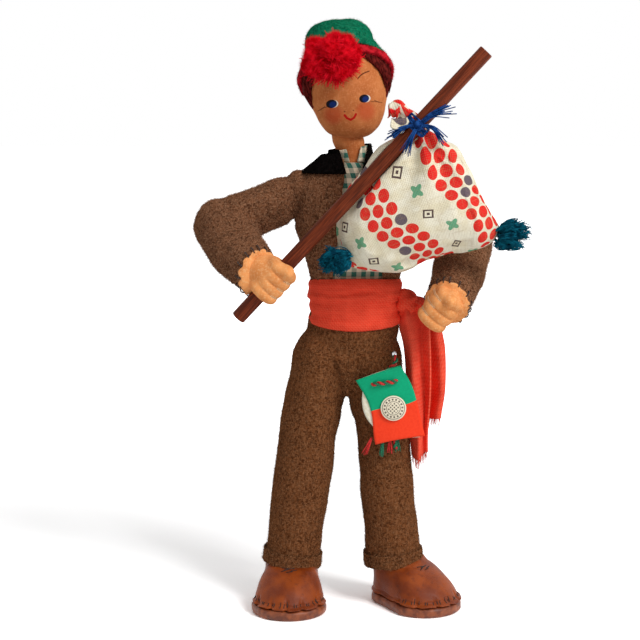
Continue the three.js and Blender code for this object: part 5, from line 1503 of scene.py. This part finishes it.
def upperRings():
    outline = soleOutline(shoe["inset"], shoe["points"])
    heading = np.arctan2(outline[:, 1], outline[:, 0])
    toeTurn = np.arctan2(outline[:, 0], -(outline[:, 1] + shoe["ahead"]))
    front = np.clip(2.6 - 1.35 * np.abs(toeTurn), 0, 1) * (outline[:, 1] < -3)
    notch = np.clip(np.cos(toeTurn * shoe["notches"] / 2 + 0.8 * np.sin(3 * toeTurn)), 0, 1) ** 4 * front
    rings = [np.c_[outline * (1 - shoe["lip"] / 18), np.full(len(outline), shoe["low"])]]
    for k in range(shoe["rings"] + 1):
        share = (k / shoe["rings"]) ** 1.25
        turn = math.radians(86) * share
        inward = shoe["cone"] * share + (1 - shoe["cone"]) * (1 - math.cos(turn) ** 0.85)
        rise = shoe["cone"] * share + (1 - shoe["cone"]) * math.sin(turn)
        height = shoe["low"] + 0.35 + (shoe["high"] - shoe["low"] - 0.35) * rise
        above = height - shoe["low"] + 0.35 * np.sin(5 * toeTurn) + 0.25 * np.sin(11 * toeTurn)
        # a bulge along the sole, and the seam that is drawn in above it
        rim = shoe["rim"] * np.exp(-((above - 0.9) / 0.7) ** 2)
        rim = rim - shoe["seam"] * np.exp(-((above - 2.3) / 0.5) ** 2)
        ankle = shoe["ankle"] * np.c_[np.cos(heading), np.sin(heading)]
        place = outline + (ankle - outline) * inward
        lower = np.clip(1 - (height - shoe["low"]) / shoe["notchTop"], 0, 1) ** 0.8
        outer = place - np.array([[0, -shoe["ahead"] * 0.6]])
        outer = outer / np.linalg.norm(outer, axis=1)[:, None]
        dent = notch * lower * shoe["notch"] - 0.5 * (1 - notch) * lower * front - rim
        place = place - outer * dent[:, None]
        rings.append(np.c_[place, np.full(len(place), height)])
    neck = shoe["neck"] * np.c_[np.cos(heading), np.sin(heading)]
    rings.append(np.c_[neck, np.full(len(neck), shoe["top"])])
    return rings


for side in ("right", "left"):
    spot = shoePlace(side)
    rings = [[spot @ (Vector(p) * mm) for p in ring] for ring in upperRings()]
    upper = loftClosed(side + "Upper", rings)
    lumpy(upper, 100, 0.6, 6.0)
    upperTree = treeOf(upper)
    dress(upper, leather.material, "shoe_leather", side + "_leg", [side + "_shoe_upper"])
    sole = softCopy(side + "Sole", [side + "_shoe_sole"], 0.5 * mm, rounds=8)
    points = pointsOf(sole)
    swell(sole, rippleAt(points, 180, 2.0) * 0.5 * mm * (points[:, 2] > 1.0 * mm))
    dress(sole, soleHide, "sole_leather", side + "_leg", [side + "_shoe_sole"])
    stitches = []
    for i in range(shoe["notches"]):
        angle = math.pi * (1.02 + 0.96 * (i + 0.3 * math.sin(4 * i)) / (shoe["notches"] - 1))
        way = spot.to_3x3() @ Vector((math.cos(angle), math.sin(angle), 0))
        middle = spot @ (Vector((0, -shoe["ahead"], 0)) * mm)
        stitchSpots = ((8.0 + math.sin(7 * i), -0.15), (7.4, 0.05), (6.8, 0.05), (6.3, -0.15))
        stitches.append([onSkin(upperTree, middle + Vector((0, 0, h * mm)), way, lift * mm)
                         for h, lift in stitchSpots])
    for sx, sy, ex, ey in shoe["laces"]:
        ends = [spot @ (Vector((sx + (ex - sx) * t, sy + (ey - sy) * t, 8)) * mm) for t in (0, 0.35, 0.7, 1)]
        stitches.append([onSkin(upperTree, p, Vector((0, 0, 1)), 0.12 * mm) for p in ends])
    seam = threads(side + "ShoeStitches", stitches, shoe["stitch"], roundness=1)
    dress(seam, darkThread, "shoe_leather", side + "_leg")
print("shoes are stitched")


# Tag: a curled card and its leaf on a two-ply cord, hung from a pin

tag = {
    "lean": 19, "middle": (15.56, -0.35, 100.8), "width": 22, "height": 33, "thick": 0.4 * mm,
    "wave": 1.7, "curl": 1.3, "sag": 3.6, "ply": 0.55 * mm, "offset": 0.5 * mm, "lay": 4.2 * mm, "seed": 51,
    "discSpot": (1, -1.5, 1.5), "discProfile": ((5.85, -0.3), (6.0, -0.15), (6.0, 0.15), (5.85, 0.25)),
    "cordTop": ((0, -3.0, -0.6), (0.4, -4.4, -3.6)),
    "cordBehind": ((2.4, 14.6, -2.6), (2, 9.9, -2.2), (-2, -9.9, -2.2), (-4.2, -21.0, -1.6)),
    "stitch": ((-4.6, 12.4, 0.6), (-3.4, 12.4, 2.4), (0.6, 11.6, 2.9), (5.0, 10.6, 2.6), (6.4, 10.2, 0.6)),
    "ends": ((-13.2, -14.6, "red", -0.5), (-8.6, -17.2, "green", -0.12),
             (-5.0, -17.2, "red", 0.0), (-1.8, -17.0, "green", 0.12)),
    "endFibres": 9, "endFibre": 0.26 * mm,
}
lean = math.radians(tag["lean"])
tagMiddle = Vector(tag["middle"]) * mm
tagAcross = Vector((math.cos(lean), 0, math.sin(lean)))
tagUp = Vector((-math.sin(lean), 0, math.cos(lean)))


def tagPoint(x, z, out):
    return tagMiddle + (tagAcross * x + tagUp * z + Vector((0, -out, 0))) * mm


def curled(name, edge, out, columns=20, rows=30):
    # a sheet of card between its left and right edges, curled towards the viewer
    points = []
    for r in range(rows + 1):
        v = r / rows
        left, right = edge(v)
        for c in range(columns + 1):
            u = c / columns
            bulge = tag["curl"] * math.sin(math.pi * u) * (0.75 + 0.5 * math.cos(5 * v))
            sag = tag["sag"] * float(eased(np.array(v), 0.45, 1.0))
            across = left + (right - left) * u + 0.4 * sag * u
            up = (0.5 - v) * tag["height"] + 0.5 * math.sin(math.pi * u) - sag * (u ** 1.2 - 0.25)
            points.append(tagPoint(across, up, bulge + out))
    card = newPiece(name, points, stripFaces(rows, columns))
    finishWith(card, "SOLIDIFY", thickness=tag["thick"], offset=0)
    return smoothShade(card)


def frontEdge(v):
    wave = tag["wave"] * math.sin(math.pi * (1.5 * v - 0.1))
    return -tag["width"] / 2 + wave, tag["width"] / 2 + wave


def leafEdge(v):
    return -8.6 - 4.2 * max(0, math.sin(math.pi * (v - 0.12) / 0.72)) ** 0.8 * (v < 0.84), 7.0


cardPaint = Finish("tagPaper", Roughness=0.5, Specular_IOR_Level=0.15)
x, y, z = cardPaint.split(cardPaint.place)
v = (z - tagMiddle.z) * math.cos(lean) - (x - tagMiddle.x) * math.sin(lean)
u = (x - tagMiddle.x) * math.cos(lean) + (z - tagMiddle.z) * math.sin(lean)
border = v + (u * 190).sine() * 1.1 * mm + 0.8 * mm
fleck = cardPaint.noise(900, 3)
green = cardPaint.mix(fleck.rise(0.3, 0.7), dye(0, 164, 116), dye(2, 172, 122))
red = cardPaint.mix(fleck.rise(0.3, 0.7), dye(250, 62, 30), dye(255, 70, 36))
cardPaint.set("Base Color", cardPaint.mix(border.rise(-0.1 * mm, 0.1 * mm), red, green))
cardPaint.relief(fleck, 0.03 * mm, 0.4)
card = curled("tagFront", frontEdge, 0.0)
dress(card, cardPaint.material, "tag_paper", "tag", ["tag_card"])
leaf = curled("tagLeaf", leafEdge, -0.75)
dress(leaf, creamPaper, "plain_paper", "tag", ["tag_back_leaf"])

discPaper = Finish("discPaper", Roughness=0.7)
x, y, z = discPaper.split(discPaper.place)
discSpot = tagPoint(*tag["discSpot"])
du, dv = x - discSpot.x, z - discSpot.z
far = (du * du + dv * dv).root()


def between(inner, outer):
    # a ring of ink, its edges a tenth of a millimetre soft
    return far.rise(inner * mm, (inner + 0.1) * mm) * far.fall(outer * mm, (outer + 0.1) * mm)


rings = between(5.0, 5.3).most(between(3.0, 3.3))
spokes = (far.maths("ARCTAN2", dv, du) * 16.0).sine().rise(-0.2, 0.2) * between(3.7, 4.6)
lattice = ((du * 3600).sine() * (dv * 3600).sine()).rise(0.1, 0.35) * far.fall(2.55 * mm, 2.65 * mm)
ink = rings.most(spokes).most(lattice) * 0.9
discPaper.set("Base Color", discPaper.mix(ink, dye(240, 230, 204), dye(64, 50, 40)))
discRings = [[discSpot + Vector((r * math.cos(t), -h, r * math.sin(t))) * mm
              for t in np.linspace(0, 2 * math.pi, 48, endpoint=False)] for r, h in tag["discProfile"]]
disc = loftClosed("tagSeal", discRings)
dress(disc, discPaper.material, "plain_paper", "tag", ["tag_disc"])


def twisted(path, ply):
    # one of two plies that turn about a line
    made, gone = [], 0.0
    for i, p in enumerate(path):
        ahead = (path[min(i + 1, len(path) - 1)] - path[max(i - 1, 0)]).normalized()
        gone += (p - path[max(i - 1, 0)]).length
        one = ahead.cross(Vector((0, 1, 0))).normalized()
        turn = 2 * math.pi * gone / tag["lay"] + math.pi * ply
        made.append(p + spokeAt(one, ahead.cross(one), turn) * tag["offset"])
    return made


pinSpot = jointPlace["tag_swing"]
cordLine = smoothPath([pinSpot + Vector(p) * mm for p in tag["cordTop"]]
                      + [tagPoint(*p) for p in tag["cordBehind"]], 90)
cordRed = threads("tagCordRed", [twisted(cordLine, 0)], tag["ply"], roundness=2)
cordGreen = threads("tagCordGreen", [twisted(cordLine, 1)], tag["ply"], roundness=2)
dress(cordGreen, greenThread, "tag_thread", "tag")
dress(cordRed, redThread, "tag_thread", "tag", ["tag_cord"])
lengthOf(cordLine)
stitchLine = smoothPath([tagPoint(*p) for p in tag["stitch"]], 40)
stitchPly = tag["ply"] * 1.1  # drawn a little fuller than the cord
stitchRed = threads("tagStitchRed", [twisted(stitchLine, 0)], stitchPly, roundness=2)
stitchGreen = threads("tagStitchGreen", [twisted(stitchLine, 1)], stitchPly, roundness=2)
dress(stitchRed, redThread, "tag_thread", "tag", ["tag_cord_stitch"])
dress(stitchGreen, greenThread, "tag_thread", "tag")
rng = random.Random(tag["seed"])
for colour, finish in (("red", redThread), ("green", greenThread)):
    paths = []
    for ex, ez, named, drift in tag["ends"]:
        for _ in range(tag["endFibres"] if named == colour else 0):
            stray = rng.uniform(-0.9, 0.9)
            start = tagPoint(ex + stray * 0.5, ez + 2.5, -1.5)
            fall = Vector((drift * 7 + stray, rng.uniform(-0.6, 0.6), -rng.uniform(6.5, 8.5))) * mm
            halfway = start + fall * 0.5 + Vector((0, -0.4, 0)) * mm
            paths.append(smoothPath([start, halfway, start + fall], 5))
    ends = threads("tagEnds" + colour.title(), paths, tag["endFibre"], tip=0.8)
    dress(ends, finish, "tag_thread", "tag")
for name, node in frame["nodes"].items():
    if name.endswith("_wire") or name == "tag_pin":
        node.data.materials.clear()
        node.data.materials.append(steel)
print("tag hangs from its pin")
